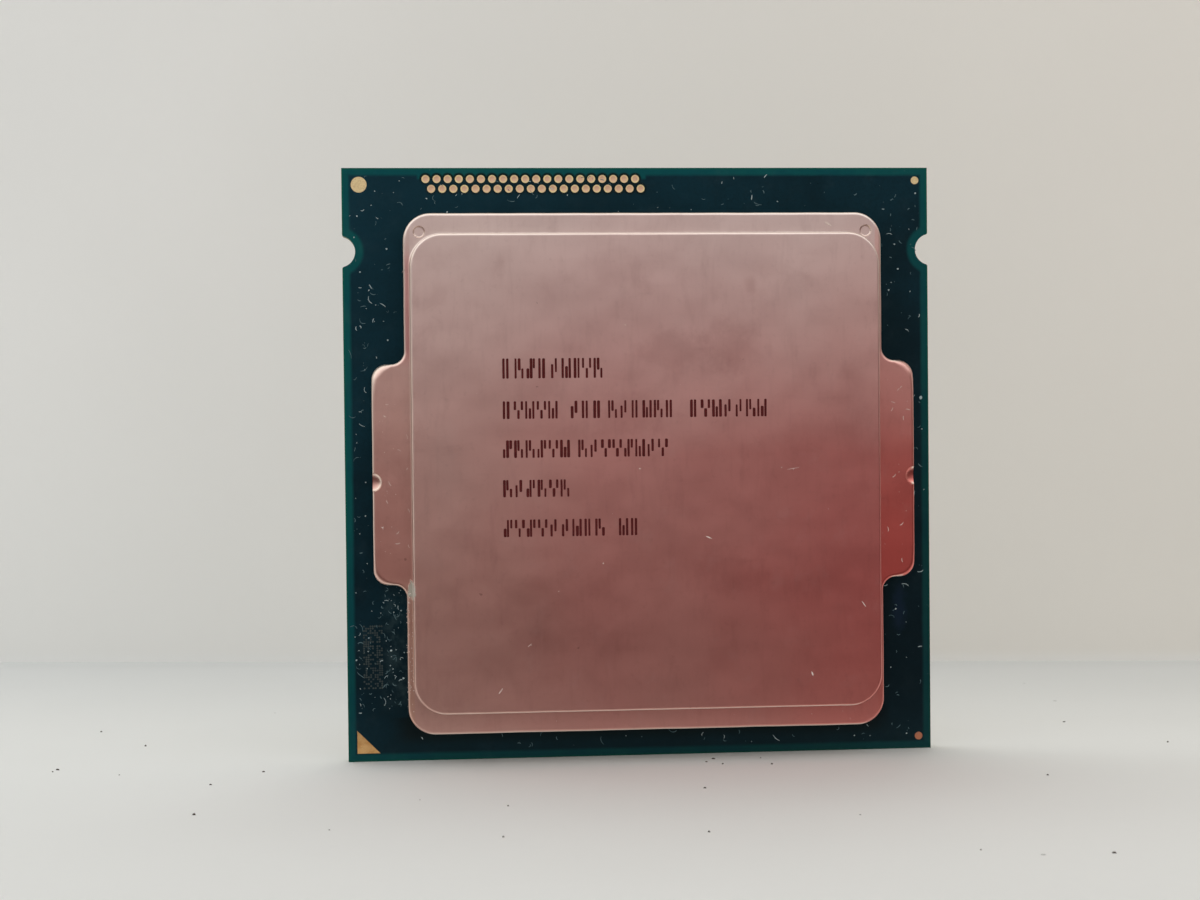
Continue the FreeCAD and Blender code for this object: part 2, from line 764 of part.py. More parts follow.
one_land = prism(land_outline(), 0, dim("land_proud"))
keep(solids("LandPads", copies([one_land], land_points())), "land_pads")

# --------------------------------------------------------------------------
# Centre bay's copper, lower build-up and lower mask
# --------------------------------------------------------------------------
BAY_LAND_CLEAR = 0.08  # copper clearance around a bay chip's land
BAY_TOOL_LOW = 0.01
BAY_TOOL_THICK = 0.10

# copper plane let into the build-up and cleared around the chips' lands
bay_blank = centred_box(
    "bay_plane_blank",
    "(Dims.bay_columns - 1) * Dims.land_pitch",
    "(Dims.bay_rows - 1) * Dims.land_pitch",
    "Dims.mask_thick",
    "Dims.copper_thick",
)
bay_tool = solids(
    "bay_plane_tool",
    land_boxes(BAY_CHIPS, BAY_SIZE, BAY_TOOL_LOW, BAY_TOOL_THICK, BAY_LAND_CLEAR),
)
bay_plane = keep(cut("bay_plane_cut", bay_blank, bay_tool), "copper_plane_bottom")
bay_flat = flat_copy("bay_plane_flat", bay_plane)
plain_layer("buildup_layers_bottom", "Dims.mask_thick", "Dims.buildup_thick", bay_flat)

# the lower mask, opened at the chips' solder lands; the lands stand on it
plain_layer(
    "solder_mask_bottom",
    "Dims.land_proud",
    "Dims.mask_thick - Dims.land_proud",
    solids("mask_bottom_tool", land_boxes(BAY_CHIPS, BAY_SIZE, 0, MASK)),
)

# --------------------------------------------------------------------------
# Silicon die and solder bumps
# --------------------------------------------------------------------------
die = new_body("DieBody")
die_sketch = rect_sketch(
    die, "DieOutline", "Dims.die_width", "Dims.die_length", "Dims.die_shift", "Dims.die_low"
)
pad(die, "DiePad", die_sketch, "Dims.die_thick")
keep(die, "silicon_die")


def bump_lines(extent):
    """Number of bumps that fit along one side of the die."""
    return int((extent - dim("bump_border")) / dim("bump_pitch")) + 1


bump_points = grid_points(
    bump_lines(dim("die_width")),
    bump_lines(dim("die_length")),
    dim("bump_pitch"),
    down=dim("die_shift"),
)
bumps = copies([disc(dim("bump_radius"), TOP_LOW, dim("die_low") - TOP_LOW)], bump_points)
keep(solids("Bumps", bumps), "die_solder_bumps")
bump_tool = solids("bump_tool", bumps)

# --------------------------------------------------------------------------
# Underfill: a sloping skirt around the die and the filled window under it
# --------------------------------------------------------------------------
# the wedge is drawn with its height along Y, then turned to stand along Z
fill_skirt = bind(doc.addObject("Part::Wedge", "underfill_skirt"), {
    "Xmin": "-(Dims.die_width / 2 + Dims.fillet_reach)",
    "Xmax": "Dims.die_width / 2 + Dims.fillet_reach",
    "X2min": "-(Dims.die_width / 2 + Dims.fillet_crest)",
    "X2max": "Dims.die_width / 2 + Dims.fillet_crest",
    "Ymin": "0",
    "Ymax": "Dims.fillet_rise",
    "Zmin": "-(Dims.die_length / 2 + Dims.fillet_reach)",
    "Zmax": "Dims.die_length / 2 + Dims.fillet_reach",
    "Z2min": "-(Dims.die_length / 2 + Dims.fillet_crest)",
    "Z2max": "Dims.die_length / 2 + Dims.fillet_crest",
})
fill_skirt.Placement = FreeCAD.Placement(V(0, -dim("die_shift"), dim("board_top")), UPRIGHT)
fill_window = centred_box(
    "underfill_window",
    WINDOW_WIDTH,
    WINDOW_LENGTH,
    "Dims.mask_top_low",
    "Dims.mask_thick",
    down="Dims.die_shift",
)
die_tool = centred_box(
    "underfill_die",
    "Dims.die_width",
    "Dims.die_length",
    "Dims.die_low",
    "Dims.die_thick",
    down="Dims.die_shift",
)
fill = fuse("underfill_mass", [fill_skirt, fill_window])
fill = cut("underfill_seat", fill, die_tool)
fill = cut("underfill_bumps", fill, bump_tool)
keep(fill, "die_underfill")

# --------------------------------------------------------------------------
# Thermal compound between the die and the cavity ceiling
# --------------------------------------------------------------------------
tim = new_body("CompoundBody")
tim_sketch = rect_sketch(
    tim,
    "CompoundOutline",
    "Dims.die_width + 2 * Dims.tim_margin",
    "Dims.die_length + 2 * Dims.tim_margin",
    "Dims.die_shift",
    "Dims.die_low + Dims.die_thick",
)
tim_pad = pad(
    tim, "CompoundPad", tim_sketch, "Dims.cavity_top - Dims.die_low - Dims.die_thick"
)
round_edges(tim, "CompoundCorners", tim_pad, climbs, "Dims.tim_margin")
keep(tim, "thermal_interface")

# --------------------------------------------------------------------------
# Heat spreader: flange with two side ears, raised face, hollow underside
# --------------------------------------------------------------------------
FLANGE_THICK = "Dims.flange_top - Dims.lid_low"
FOOT_BAND = 0.9  # foot edges lie within this band inside the face's outline
FOOT_SLACK = 0.01

lid = new_body("LidBody")
shift = dim("lid_shift")
sketch = rect_sketch(
    lid, "FlangeOutline", "Dims.lid_width", "Dims.lid_length", "Dims.lid_shift", "Dims.lid_low"
)
pad(lid, "FlangePad", sketch, FLANGE_THICK)
sketch = rect_sketch(
    lid, "EarOutline", "Dims.ear_span", "Dims.ear_length", "Dims.lid_shift", "Dims.lid_low"
)
step = pad(lid, "EarPad", sketch, FLANGE_THICK)
for name, test, radius in (
    ("LidCorners", corners_of(dim("lid_width"), dim("lid_length"), shift), "lid_corner"),
    ("EarCorners", corners_of(dim("ear_span"), dim("ear_length"), shift), "ear_corner"),
    ("NeckFillets", corners_of(dim("lid_width"), dim("ear_length"), shift), "neck_fillet"),
    ("FlangeRounding", level_at(dim("flange_top")), "flange_round"),
):
    step = round_edges(lid, name, step, test, "Dims." + radius)


def on_face_foot(point):
    """True near the outline of the raised face, on it or just inside."""
    from_x = abs(point.x) - dim("face_width") / 2
    from_y = abs(point.y + dim("face_shift")) - dim("face_length") / 2
    inside = from_x < FOOT_SLACK and from_y < FOOT_SLACK
    return inside and (from_x > -FOOT_BAND or from_y > -FOOT_BAND)


sketch = rect_sketch(
    lid,
    "FaceOutline",
    "Dims.face_width",
    "Dims.face_length",
    "Dims.face_shift",
    "Dims.flange_top - Dims.face_root",
)
step = pad(lid, "FacePad", sketch, "Dims.lid_top - Dims.flange_top + Dims.face_root")
face_corners = corners_of(dim("face_width"), dim("face_length"), dim("face_shift"))
for name, test, radius in (
    ("FaceCorners", face_corners, "face_corner"),
    ("FaceRounding", level_at(dim("lid_top")), "face_round"),
    ("FootFillet", level_at(dim("flange_top"), on_face_foot), "step_fillet"),
):
    step = round_edges(lid, name, step, test, "Dims." + radius)

sketch = rect_sketch(
    lid,
    "CavityOutline",
    "Dims.cavity_width",
    "Dims.cavity_length",
    "Dims.lid_shift",
    "Dims.lid_low",
)
hollow = pocket(lid, "Cavity", sketch, "Dims.cavity_top - Dims.lid_low", back=True)
cavity_corners = corners_of(dim("cavity_width"), dim("cavity_length"), shift)
round_edges(lid, "CavityCorners", hollow, cavity_corners, "Dims.cavity_corner")

# gauge dimples in the flange and nicks in the ears' outer edges
for tag, sign in (("Left", "-"), ("Right", "")):
    for outline, feature, kind, x, y in (
        ("Dimple", "GaugeDimple", "dimple", "Dims.dimple_across", "Dims.dimple_up"),
        ("Nick", "EarNick", "nick", "Dims.ear_span / 2", "-Dims.nick_level"),
    ):
        sketch = round_sketch(
            lid, outline + tag, "Dims.%s_radius" % kind, sign + x, y, "Dims.flange_top"
        )
        pocket(lid, feature + tag, sketch, "Dims.%s_depth" % kind)
keep(lid, "heat_spreader", dim("lid_aside"))

# --------------------------------------------------------------------------
# Sealant line under the lid's foot, with a vent gap at the lower edge
# --------------------------------------------------------------------------
SEAL_THICK = "Dims.lid_low - Dims.board_top"

seal = new_body("SealantBody")
sketch = rect_sketch(
    seal,
    "SealantOuter",
    "Dims.lid_width - 2 * Dims.seal_inset",
    "Dims.lid_length - 2 * Dims.seal_inset",
    "Dims.lid_shift",
    "Dims.board_top",
)
line = pad(seal, "SealantPad", sketch, SEAL_THICK)
round_edges(seal, "SealantCorners", line, climbs, "Dims.cavity_corner")
sketch = rect_sketch(
    seal,
    "SealantInner",
    "Dims.cavity_width + 2 * Dims.seal_inset",
    "Dims.cavity_length + 2 * Dims.seal_inset",
    "Dims.lid_shift",
    "Dims.lid_low",
)
pocket(seal, "SealantOpening", sketch, SEAL_THICK)
sketch = rect_sketch(
    seal,
    "VentGap",
    "Dims.vent_gap",
    "Dims.vent_length",
    "Dims.lid_length / 2 + Dims.lid_shift + Dims.vent_outrun - Dims.vent_length / 2",
    "Dims.lid_low",
)
pocket(seal, "Vent", sketch, SEAL_THICK)
keep(seal, "lid_sealant", dim("lid_aside"))

# --------------------------------------------------------------------------
# Check every feature, then write each sub-part
# --------------------------------------------------------------------------
doc.recompute()
bad = [obj.Name for obj in doc.Objects if "Invalid" in obj.State or "Error" in obj.State]
if bad:
    raise RuntimeError("failed features: " + ", ".join(bad))
if len({obj.Label for obj in NODES}) != len(NODES):
    raise RuntimeError("two sub-parts share a name")
for obj in NODES:
    if obj.Shape.isNull() or not obj.Shape.isValid() or not obj.Shape.Solids:
        raise RuntimeError("bad shape: " + obj.Label)
os.makedirs("parts", exist_ok=True)
for obj in NODES:
    obj.Shape.exportStep("parts/%s.step" % obj.Label)
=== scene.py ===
"""Looks of the processor package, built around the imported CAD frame. Metres, +Z up, lid towards -Y."""
import math
import random

import bmesh
import bpy
from mathutils import Matrix, Vector


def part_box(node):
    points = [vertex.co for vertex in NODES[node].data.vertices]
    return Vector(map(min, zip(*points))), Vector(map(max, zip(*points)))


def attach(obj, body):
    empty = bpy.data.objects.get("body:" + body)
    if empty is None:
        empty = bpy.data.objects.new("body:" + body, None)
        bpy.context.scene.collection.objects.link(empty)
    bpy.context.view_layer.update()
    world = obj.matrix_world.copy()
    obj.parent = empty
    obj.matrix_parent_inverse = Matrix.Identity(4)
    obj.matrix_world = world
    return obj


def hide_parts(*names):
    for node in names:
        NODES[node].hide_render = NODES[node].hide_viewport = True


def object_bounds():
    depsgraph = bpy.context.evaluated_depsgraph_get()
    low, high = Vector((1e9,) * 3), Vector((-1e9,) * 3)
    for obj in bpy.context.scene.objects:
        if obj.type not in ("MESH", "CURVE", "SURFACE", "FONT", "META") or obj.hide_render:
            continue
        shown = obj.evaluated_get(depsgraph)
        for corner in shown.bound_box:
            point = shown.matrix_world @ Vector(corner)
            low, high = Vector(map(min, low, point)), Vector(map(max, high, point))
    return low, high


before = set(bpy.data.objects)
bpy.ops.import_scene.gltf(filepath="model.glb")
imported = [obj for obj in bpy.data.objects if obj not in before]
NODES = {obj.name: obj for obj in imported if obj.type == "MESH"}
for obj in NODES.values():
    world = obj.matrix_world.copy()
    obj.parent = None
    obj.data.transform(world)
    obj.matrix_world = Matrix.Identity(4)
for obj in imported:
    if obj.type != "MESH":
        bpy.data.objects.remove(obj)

CAD_LO, CAD_HI = [list(v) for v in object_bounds()]
MM = 0.001

# reference places, read from the frame (millimetres, in the lid's plane: x right, z up)
core_lo, core_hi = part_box("substrate_core")
HALF = (core_hi[0] - core_lo[0]) / 2 / MM  # 18.75
lid_lo, lid_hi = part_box("heat_spreader")
LID_TOP = -lid_lo[1] / MM  # 4.38 above the land plane
LID_LOW = -lid_hi[1] / MM  # 1.20
plane_lo, plane_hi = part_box("copper_plane_top")
COPPER = plane_hi[0] / MM  # half side of the copper plane
mask_lo, mask_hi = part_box("solder_mask_top")
BOARD_TOP = -mask_lo[1] / MM  # 1.10


def srgb(r, g, b):
    """Linear colour of an 8-bit display colour."""
    return tuple(
        (c / 255 / 12.92) if c / 255 <= 0.04045 else ((c / 255 + 0.055) / 1.055) ** 2.4
        for c in (r, g, b)
    )


# half sizes, radii and centres of the lid's outline, its ears and its raised face
LW, LL, EW, EL = 15.13, 16.305, 17.18, 6.92
RC, RE, RN = 1.70, 0.95, 0.8
ASIDE, SHIFT = 0.17, -0.555
FLANGE_TOP = 3.05
FW, FL, FR, FSHIFT = 14.72, 14.92, 2.0, -0.52

# tones to tune: the lid's colour from low to high at its left, middle and right, the nickel's own pale tone high
# up with a painted reflection that reddens it lower down and towards the right
LID_ROUGH = 0.36
LEFT_RAMP = [
    (0.00, srgb(199, 161, 151)),
    (0.30, srgb(208, 172, 162)),
    (0.55, srgb(212, 181, 173)),
    (0.78, srgb(222, 200, 194)),
    (1.00, srgb(232, 218, 212)),
]
MIDDLE_RAMP = [
    (0.00, srgb(198, 148, 140)),
    (0.30, srgb(201, 146, 139)),
    (0.55, srgb(213, 161, 155)),
    (0.78, srgb(218, 189, 184)),
    (1.00, srgb(228, 214, 209)),
]
RIGHT_RAMP = [
    (0.00, srgb(203, 127, 120)),
    (0.30, srgb(204, 123, 119)),
    (0.55, srgb(204, 136, 131)),
    (0.78, srgb(220, 188, 182)),
    (1.00, srgb(232, 220, 215)),
]
KEY, WORLD, GLOW = 1.25, 0.79, 0.12
CARD = ((0.92, 0.82, 0.80), (0.90, 0.74, 0.72), (0.72, 0.46, 0.44), (0.62, 0.24, 0.23))
FLOOR_TONES = ((0.855, 0.870, 0.862), (0.825, 0.838, 0.828))
WALL_TONES = ((0.87, 0.862, 0.845), (0.84, 0.832, 0.815))
TOP_DEEP = (srgb(13, 33, 43), srgb(16, 44, 56), srgb(10, 25, 32))
TOP_MARGIN = (srgb(10, 74, 80), srgb(13, 82, 82))


# ---------------------------------------------------------------------------
# Node-graph helpers
# ---------------------------------------------------------------------------
class Graph:
    """A small wrapper that writes shader graphs as expressions."""

    def __init__(self, name):
        self.mat = bpy.data.materials.new(name)
        self.mat.use_nodes = True
        self.t = self.mat.node_tree
        self.t.nodes.clear()
        self.out = self.t.nodes.new("ShaderNodeOutputMaterial")
        self.bsdf = self.t.nodes.new("ShaderNodeBsdfPrincipled")
        self.t.links.new(self.bsdf.outputs[0], self.out.inputs["Surface"])
        tc = self.t.nodes.new("ShaderNodeTexCoord")
        self.mm = self.vmath("SCALE", tc.outputs["Object"], scale=1000.0)
        self.x, self.y, self.z = self.split(self.mm)

    def node(self, kind, **props):
        n = self.t.nodes.new(kind)
        for k, v in props.items():
            setattr(n, k, v)
        return n

    def put(self, socket, value):
        if isinstance(value, bpy.types.NodeSocket):
            self.t.links.new(value, socket)
        elif value is not None:
            if hasattr(socket, "default_value"):
                d = socket.default_value
                if hasattr(d, "__len__") and len(d) == 4 and hasattr(value, "__len__") and len(value) == 3:
                    value = tuple(value) + (1.0,)
                socket.default_value = value

    def m(self, op, a, b=None, c=None, clamp=False):
        n = self.node("ShaderNodeMath", operation=op, use_clamp=clamp)
        self.put(n.inputs[0], a)
        if b is not None:
            self.put(n.inputs[1], b)
        if c is not None:
            self.put(n.inputs[2], c)
        return n.outputs[0]

    def vmath(self, op, a, b=None, scale=None):
        n = self.node("ShaderNodeVectorMath", operation=op)
        self.put(n.inputs[0], a)
        if b is not None:
            self.put(n.inputs[1], b)
        if scale is not None:
            self.put(n.inputs["Scale"], scale)
        return n.outputs["Value"] if op in ("LENGTH", "DISTANCE", "DOT_PRODUCT") else n.outputs[0]

    def split(self, v):
        n = self.node("ShaderNodeSeparateXYZ")
        self.put(n.inputs[0], v)
        return n.outputs[0], n.outputs[1], n.outputs[2]

    def join(self, x, y, z):
        n = self.node("ShaderNodeCombineXYZ")
        for s, v in zip(n.inputs, (x, y, z)):
            self.put(s, v)
        return n.outputs[0]

    def step(self, v, lo, hi, a=0.0, b=1.0, smooth=True):
        """a below lo, b above hi, with a smooth run between."""
        n = self.node("ShaderNodeMapRange", interpolation_type="SMOOTHSTEP" if smooth else "LINEAR")
        n.clamp = True
        for s, x in zip(("Value", "From Min", "From Max", "To Min", "To Max"), (v, lo, hi, a, b)):
            self.put(n.inputs[s], x)
        return n.outputs[0]

    def noise(self, scale, detail=3.0, rough=0.55, vec=None, distort=0.0, out=0):
        n = self.node("ShaderNodeTexNoise")
        self.put(n.inputs["Vector"], vec if vec is not None else self.mm)
        self.put(n.inputs["Scale"], scale)
        self.put(n.inputs["Detail"], detail)
        self.put(n.inputs["Roughness"], rough)
        self.put(n.inputs["Distortion"], distort)
        return n.outputs[out]

    def cells(self, scale, vec=None, feature="F1", rand=1.0):
        n = self.node("ShaderNodeTexVoronoi", feature=feature)
        self.put(n.inputs["Vector"], vec if vec is not None else self.mm)
        self.put(n.inputs["Scale"], scale)
        if "Randomness" in n.inputs:
            self.put(n.inputs["Randomness"], rand)
        return n

    def mix(self, fac, a, b, mode="MIX"):
        n = self.node("ShaderNodeMix", data_type="RGBA", blend_type=mode)
        self.put(n.inputs[0], fac)
        self.put(n.inputs[6], a)
        self.put(n.inputs[7], b)
        return n.outputs[2]

    def mixf(self, fac, a, b):
        n = self.node("ShaderNodeMix", data_type="FLOAT")
        self.put(n.inputs[0], fac)
        self.put(n.inputs[2], a)
        self.put(n.inputs[3], b)
        return n.outputs[0]

    def ramp(self, fac, stops):
        n = self.node("ShaderNodeValToRGB")
        r = n.color_ramp
        while len(r.elements) < len(stops):
            r.elements.new(0.5)
        for e, (p, c) in zip(r.elements, stops):
            e.position = p
            e.color = tuple(c) + (1.0,)
        self.put(n.inputs[0], fac)
        return n.outputs[0]

    def bump(self, height, distance, strength=1.0, normal=None):
        n = self.node("ShaderNodeBump")
        self.put(n.inputs["Height"], height)
        self.put(n.inputs["Distance"], distance)
        self.put(n.inputs["Strength"], strength)
        if normal is not None:
            self.put(n.inputs["Normal"], normal)
        return n.outputs[0]

    def set(self, **values):
        names = {
            "color": "Base Color",
            "metal": "Metallic",
            "rough": "Roughness",
            "normal": "Normal",
            "coat": "Coat Weight",
            "coat_rough": "Coat Roughness",
            "ior": "IOR",
            "spec": "Specular IOR Level",
            "sub": "Subsurface Weight",
            "aniso": "Anisotropic",
            "alpha": "Alpha",
            "sheen": "Sheen Weight",
            "spec_tint": "Specular Tint",
        }
        for k, v in values.items():
            self.put(self.bsdf.inputs[names[k]], v)
        return self.mat


def specks(g, scale, keep, size, seed=0.0, stretch=None):
    """Small scattered flecks: 1 on a fleck, 0 elsewhere. keep is the share of cells
    that hold one, size the fleck's radius in cell units."""
    vec = g.vmath("ADD", g.mm, (seed, seed * 1.7, seed * 0.6))
    flat = g.split(vec)
    warp = g.noise(scale * 2.2, 2.0, 0.6, vec, out=1)
    warp = g.vmath("SCALE", g.vmath("SUBTRACT", warp, (0.5, 0.5, 0.5)), scale=0.55 / scale)
    v = g.vmath("ADD", g.join(flat[0], 0.0, flat[2]), warp)
    if stretch is not None:
        v = g.vmath("MULTIPLY", v, stretch)
    c = g.cells(scale, v)
    r, gg, b = g.node("ShaderNodeSeparateColor").inputs[0], None, None
    sep = r.node
    g.put(sep.inputs[0], c.outputs["Color"])
    pick = g.m("GREATER_THAN", sep.outputs[0], 1.0 - keep)
    radius = g.m("MULTIPLY", sep.outputs[1], size)
    fleck = g.step(g.m("SUBTRACT", c.outputs["Distance"], radius), -0.02, 0.02, 1.0, 0.0)
    return g.m("MULTIPLY", g.m("MULTIPLY", pick, fleck), g.m("GREATER_THAN", radius, size * 0.25))


def hairs(g, scale, width, keep_scale, keep, seed=0.0):
    """Fine curved fibres and scratches: 1 on a thread."""
    vec = g.vmath("ADD", g.mm, (seed * 3.1, 0.0, seed))
    f = g.split(vec)
    flat = g.join(f[0], 0.0, f[2])
    a = g.noise(scale, 1.5, 0.5, flat)
    line = g.step(g.m("ABSOLUTE", g.m("SUBTRACT", a, 0.5)), width * 0.3, width, 1.0, 0.0)
    b = g.noise(keep_scale, 0.0, 0.5, g.vmath("ADD", flat, (31.7, 0.0, 11.3)))
    gate = g.step(b, 1.0 - keep, 1.0 - keep + 0.03)
    return g.m("MULTIPLY", line, gate)


def straight_scratches(g, angle, pitch, width, keep, length, seed):
    """Short straight scratches at an angle, in the lid's plane."""
    ca, sa = math.cos(angle), math.sin(angle)
    u = g.m("ADD", g.m("MULTIPLY", g.x, ca), g.m("MULTIPLY", g.z, sa))
    v = g.m("ADD", g.m("MULTIPLY", g.x, -sa), g.m("MULTIPLY", g.z, ca))
    vec = g.join(g.m("MULTIPLY", u, 1.0 / length), 0.0, g.m("MULTIPLY", v, 1.0 / pitch))
    vec = g.vmath("ADD", vec, (seed, 0.0, seed * 2.3))
    c = g.cells(1.0, vec, rand=1.0)
    sep = g.node("ShaderNodeSeparateColor")
    g.put(sep.inputs[0], c.outputs["Color"])
    pos = g.vmath("SUBTRACT", vec, c.outputs["Position"])
    pu, _, pv = g.split(pos)
    across = g.m("ABSOLUTE", pv)
    along = g.m("ABSOLUTE", pu)
    line = g.step(across, width * 0.4, width, 1.0, 0.0)
    ends = g.step(along, 0.18, 0.36, 1.0, 0.0)
    pick = g.m("GREATER_THAN", sep.outputs[2], 1.0 - keep)
    return g.m("MULTIPLY", g.m("MULTIPLY", line, ends), pick)


# ---------------------------------------------------------------------------
# Materials
# ---------------------------------------------------------------------------
def blob(g, cx, cz, rx, rz, ragged=0.5, scale=0.9):
    """A soft ragged patch in the lid's plane: 1 at its middle, 0 outside."""
    ax = g.m("MULTIPLY", g.m("SUBTRACT", g.x, cx), 1 / rx)
    az = g.m("MULTIPLY", g.m("SUBTRACT", g.z, cz), 1 / rz)
    d = g.m("SQRT", g.m("ADD", g.m("MULTIPLY", ax, ax), g.m("MULTIPLY", az, az)))
    n = g.noise(scale, 4.0, 0.65, g.vmath("ADD", g.mm, (cx, 0.0, cz)))
    d = g.m("ADD", d, g.m("MULTIPLY", g.m("SUBTRACT", n, 0.5), ragged * 3))
    return g.step(d, 0.25, 1.15, 1.0, 0.0)


STAINS = [
    (6.65, 11.1, 0.45, 0.7, 0.16),
    (5.3, 7.2, 2.4, 1.9, 0.20),
    (1.7, 7.0, 3.0, 1.5, 0.17),
    (-6.2, 10.7, 1.6, 1.2, 0.06),
    (-1.4, 12.0, 2.6, 1.2, 0.08),
    (5.2, -6.65, 2.2, 1.7, 0.15),
    (-1.0, 3.2, 3.0, 1.6, 0.16),
    (-7.0, 5.3, 2.6, 1.6, 0.10),
    (13.2, 3.6, 1.4, 3.6, 0.10),
    (-12.5, 0.5, 1.0, 3.0, -0.10),
    (-6.0, -9.5, 4.0, 3.0, 0.10),
]


def nickel():
    """Satin nickel plate with a painted reflection: a warm cast that deepens down and to the right."""
    g = Graph("satin_nickel")
    lx = g.m("SUBTRACT", g.x, ASIDE)
    u = g.m("MULTIPLY", g.m("ADD", lx, 15.1), 1 / 30.2, clamp=True)
    v = g.m("MULTIPLY", g.m("ADD", g.z, 16.9), 1 / 32.6, clamp=True)  # 0 low, 1 high
    drift = g.noise(0.09, 3.0, 0.55)
    v2 = g.m("ADD", v, g.m("MULTIPLY", g.m("SUBTRACT", drift, 0.5), 0.16))
    # painted reflection: the ramps redden the nickel's own pale tone lower down and towards the right
    left = g.ramp(v2, LEFT_RAMP)
    middle = g.ramp(v2, MIDDLE_RAMP)
    right = g.ramp(v2, RIGHT_RAMP)
    wob = g.noise(0.13, 2.0, 0.5, g.vmath("ADD", g.mm, (9, 4, 2)))
    u2 = g.m("ADD", u, g.m("MULTIPLY", g.m("SUBTRACT", wob, 0.5), 0.22))
    base = g.mix(g.step(u2, 0.02, 0.45), left, middle)
    base = g.mix(g.step(u2, 0.50, 1.0), base, right)
    # painted reflection: the flange's left and right strips get their own tints, changing with height
    ax = g.m("ABSOLUTE", lx)
    az = g.m("ABSOLUTE", g.m("SUBTRACT", g.z, FSHIFT))
    out = g.m("MAXIMUM", g.step(ax, FW - 0.05, FW + 0.05), g.step(az, FL - 0.05, FL + 0.05))
    sidef = g.step(ax, FW - 0.05, FW + 0.05)
    lhs = g.m("MULTIPLY", sidef, g.m("LESS_THAN", lx, 0.0))
    rhs = g.m("MULTIPLY", sidef, g.m("GREATER_THAN", lx, 0.0))
    zz = g.m("ADD", g.z, g.m("MULTIPLY", g.m("SUBTRACT", g.noise(0.3, 2.0), 0.5), 2.0))
    left_f = g.mix(g.step(zz, -8.5, -7.0), (1.02, 1.0, 0.92), (0.95, 0.80, 0.78))
    left_f = g.mix(g.step(zz, -4.0, 5.0), left_f, (1.0, 0.93, 0.90))
    left_f = g.mix(g.step(zz, 6.2, 7.4), left_f, (0.86, 0.60, 0.61))
    left_f = g.mix(g.step(zz, 12.4, 14.4), left_f, (1.0, 0.98, 0.97))
    right_f = g.mix(g.step(zz, -6.0, 6.0), (1.06, 0.72, 0.68), (1.0, 0.86, 0.84))
    right_f = g.mix(g.step(zz, -8.5, -7.4, 1.0, 0.0), right_f, (1.0, 0.97, 0.95))
    base = g.mix(lhs, base, g.mix(1.0, base, left_f, "MULTIPLY"))
    base = g.mix(rhs, base, g.mix(1.0, base, right_f, "MULTIPLY"))
    # handling marks: broad stains, finger wipes and tiny pits
    for cx, cz, rx, rz, k in STAINS:
        f = g.m("MULTIPLY", blob(g, cx, cz, rx, rz), abs(k))
        base = g.mix(f, base, srgb(130, 62, 58) if k > 0 else srgb(205, 190, 184))
    stain = g.noise(0.33, 5.0, 0.62, distort=0.6)
    base = g.mix(g.step(stain, 0.50, 0.80, 0.0, 0.12), base, srgb(132, 62, 58))
    smear = g.noise(0.9, 4.0, 0.62, g.vmath("MULTIPLY", g.mm, (1.0, 1.0, 0.35)))
    base = g.mix(g.step(smear, 0.52, 0.82, 0.0, 0.13), base, srgb(118, 70, 66))
    wipe = g.noise(1.9, 3.0, 0.7, g.vmath("MULTIPLY", g.mm, (1.0, 1.0, 0.12)))
    base = g.mix(g.step(wipe, 0.50, 0.80, 0.0, 0.07), base, srgb(112, 64, 62))
    rub = g.noise(1.6, 3.0, 0.7, g.vmath("MULTIPLY", g.mm, (0.14, 1.0, 1.0)))
    base = g.mix(g.step(rub, 0.52, 0.80, 0.0, 0.05), base, srgb(112, 64, 62))
    pale = g.noise(0.7, 4.0, 0.62, g.vmath("ADD", g.mm, (13, 1, 28)))
    base = g.mix(g.step(pale, 0.52, 0.80, 0.0, 0.07), base, srgb(215, 200, 196))
    blot = g.noise(2.6, 4.0, 0.6, g.vmath("ADD", g.mm, (3, 1, 8)))
    base = g.mix(g.step(blot, 0.55, 0.78, 0.0, 0.08), base, srgb(105, 66, 64))
    pit = specks(g, 0.85, 0.16, 0.07, 2.0)
    base = g.mix(g.m("MULTIPLY", pit, 0.40), base, srgb(100, 62, 60))
    # a pale crust of residue beside the left ear
    rx = g.m("MULTIPLY", g.m("ADD", g.x, 14.66), 1 / 0.26)
    rz = g.m("MULTIPLY", g.m("ADD", g.z, 7.75), 1 / 0.62)
    rd = g.m("SQRT", g.m("ADD", g.m("MULTIPLY", rx, rx), g.m("MULTIPLY", rz, rz)))
    rd = g.m("ADD", rd, g.m("MULTIPLY", g.m("SUBTRACT", g.noise(4.0, 3.0), 0.5), 1.3))
    crust = g.step(rd, 0.75, 1.05, 1.0, 0.0)
    base = g.mix(g.m("MULTIPLY", crust, 0.8), base, srgb(176, 178, 166))
    # painted highlight: the rounded edges, turned away from the viewer, are painted pale
    geo = g.node("ShaderNodeNewGeometry")
    facing = g.m("ABSOLUTE", g.split(geo.outputs["Normal"])[1])
    nx = g.split(geo.outputs["Normal"])[0]
    edge = g.step(facing, 0.72, 0.965, 1.0, 0.0)
    # painted shade: the highlight is duller along the left edges low down, and along the right ones below the
    # corner
    low_left_shade = g.m("MULTIPLY", g.step(nx, -0.30, -0.10, 1.0, 0.0), g.step(g.z, -9.5, -3.0, 0.85, 0.0))
    right_shade = g.m("MULTIPLY", g.step(nx, 0.10, 0.30), g.step(g.z, 5.0, 12.5, 0.92, 0.25))
    edge = g.m("MULTIPLY", edge, g.m("SUBTRACT", 1.0, g.m("MAXIMUM", low_left_shade, right_shade)))
    flank = g.step(facing, 0.12, 0.45, 1.0, 0.0)
    edge = g.m("MAXIMUM", edge, flank)
    base = g.mix(g.m("MULTIPLY", edge, 0.85), base, srgb(232, 214, 202))
    # the upright flanks mirror the plain room, not what lies in front of the lid
    base = g.mix(g.m("MULTIPLY", flank, 0.8), base, srgb(196, 192, 186))
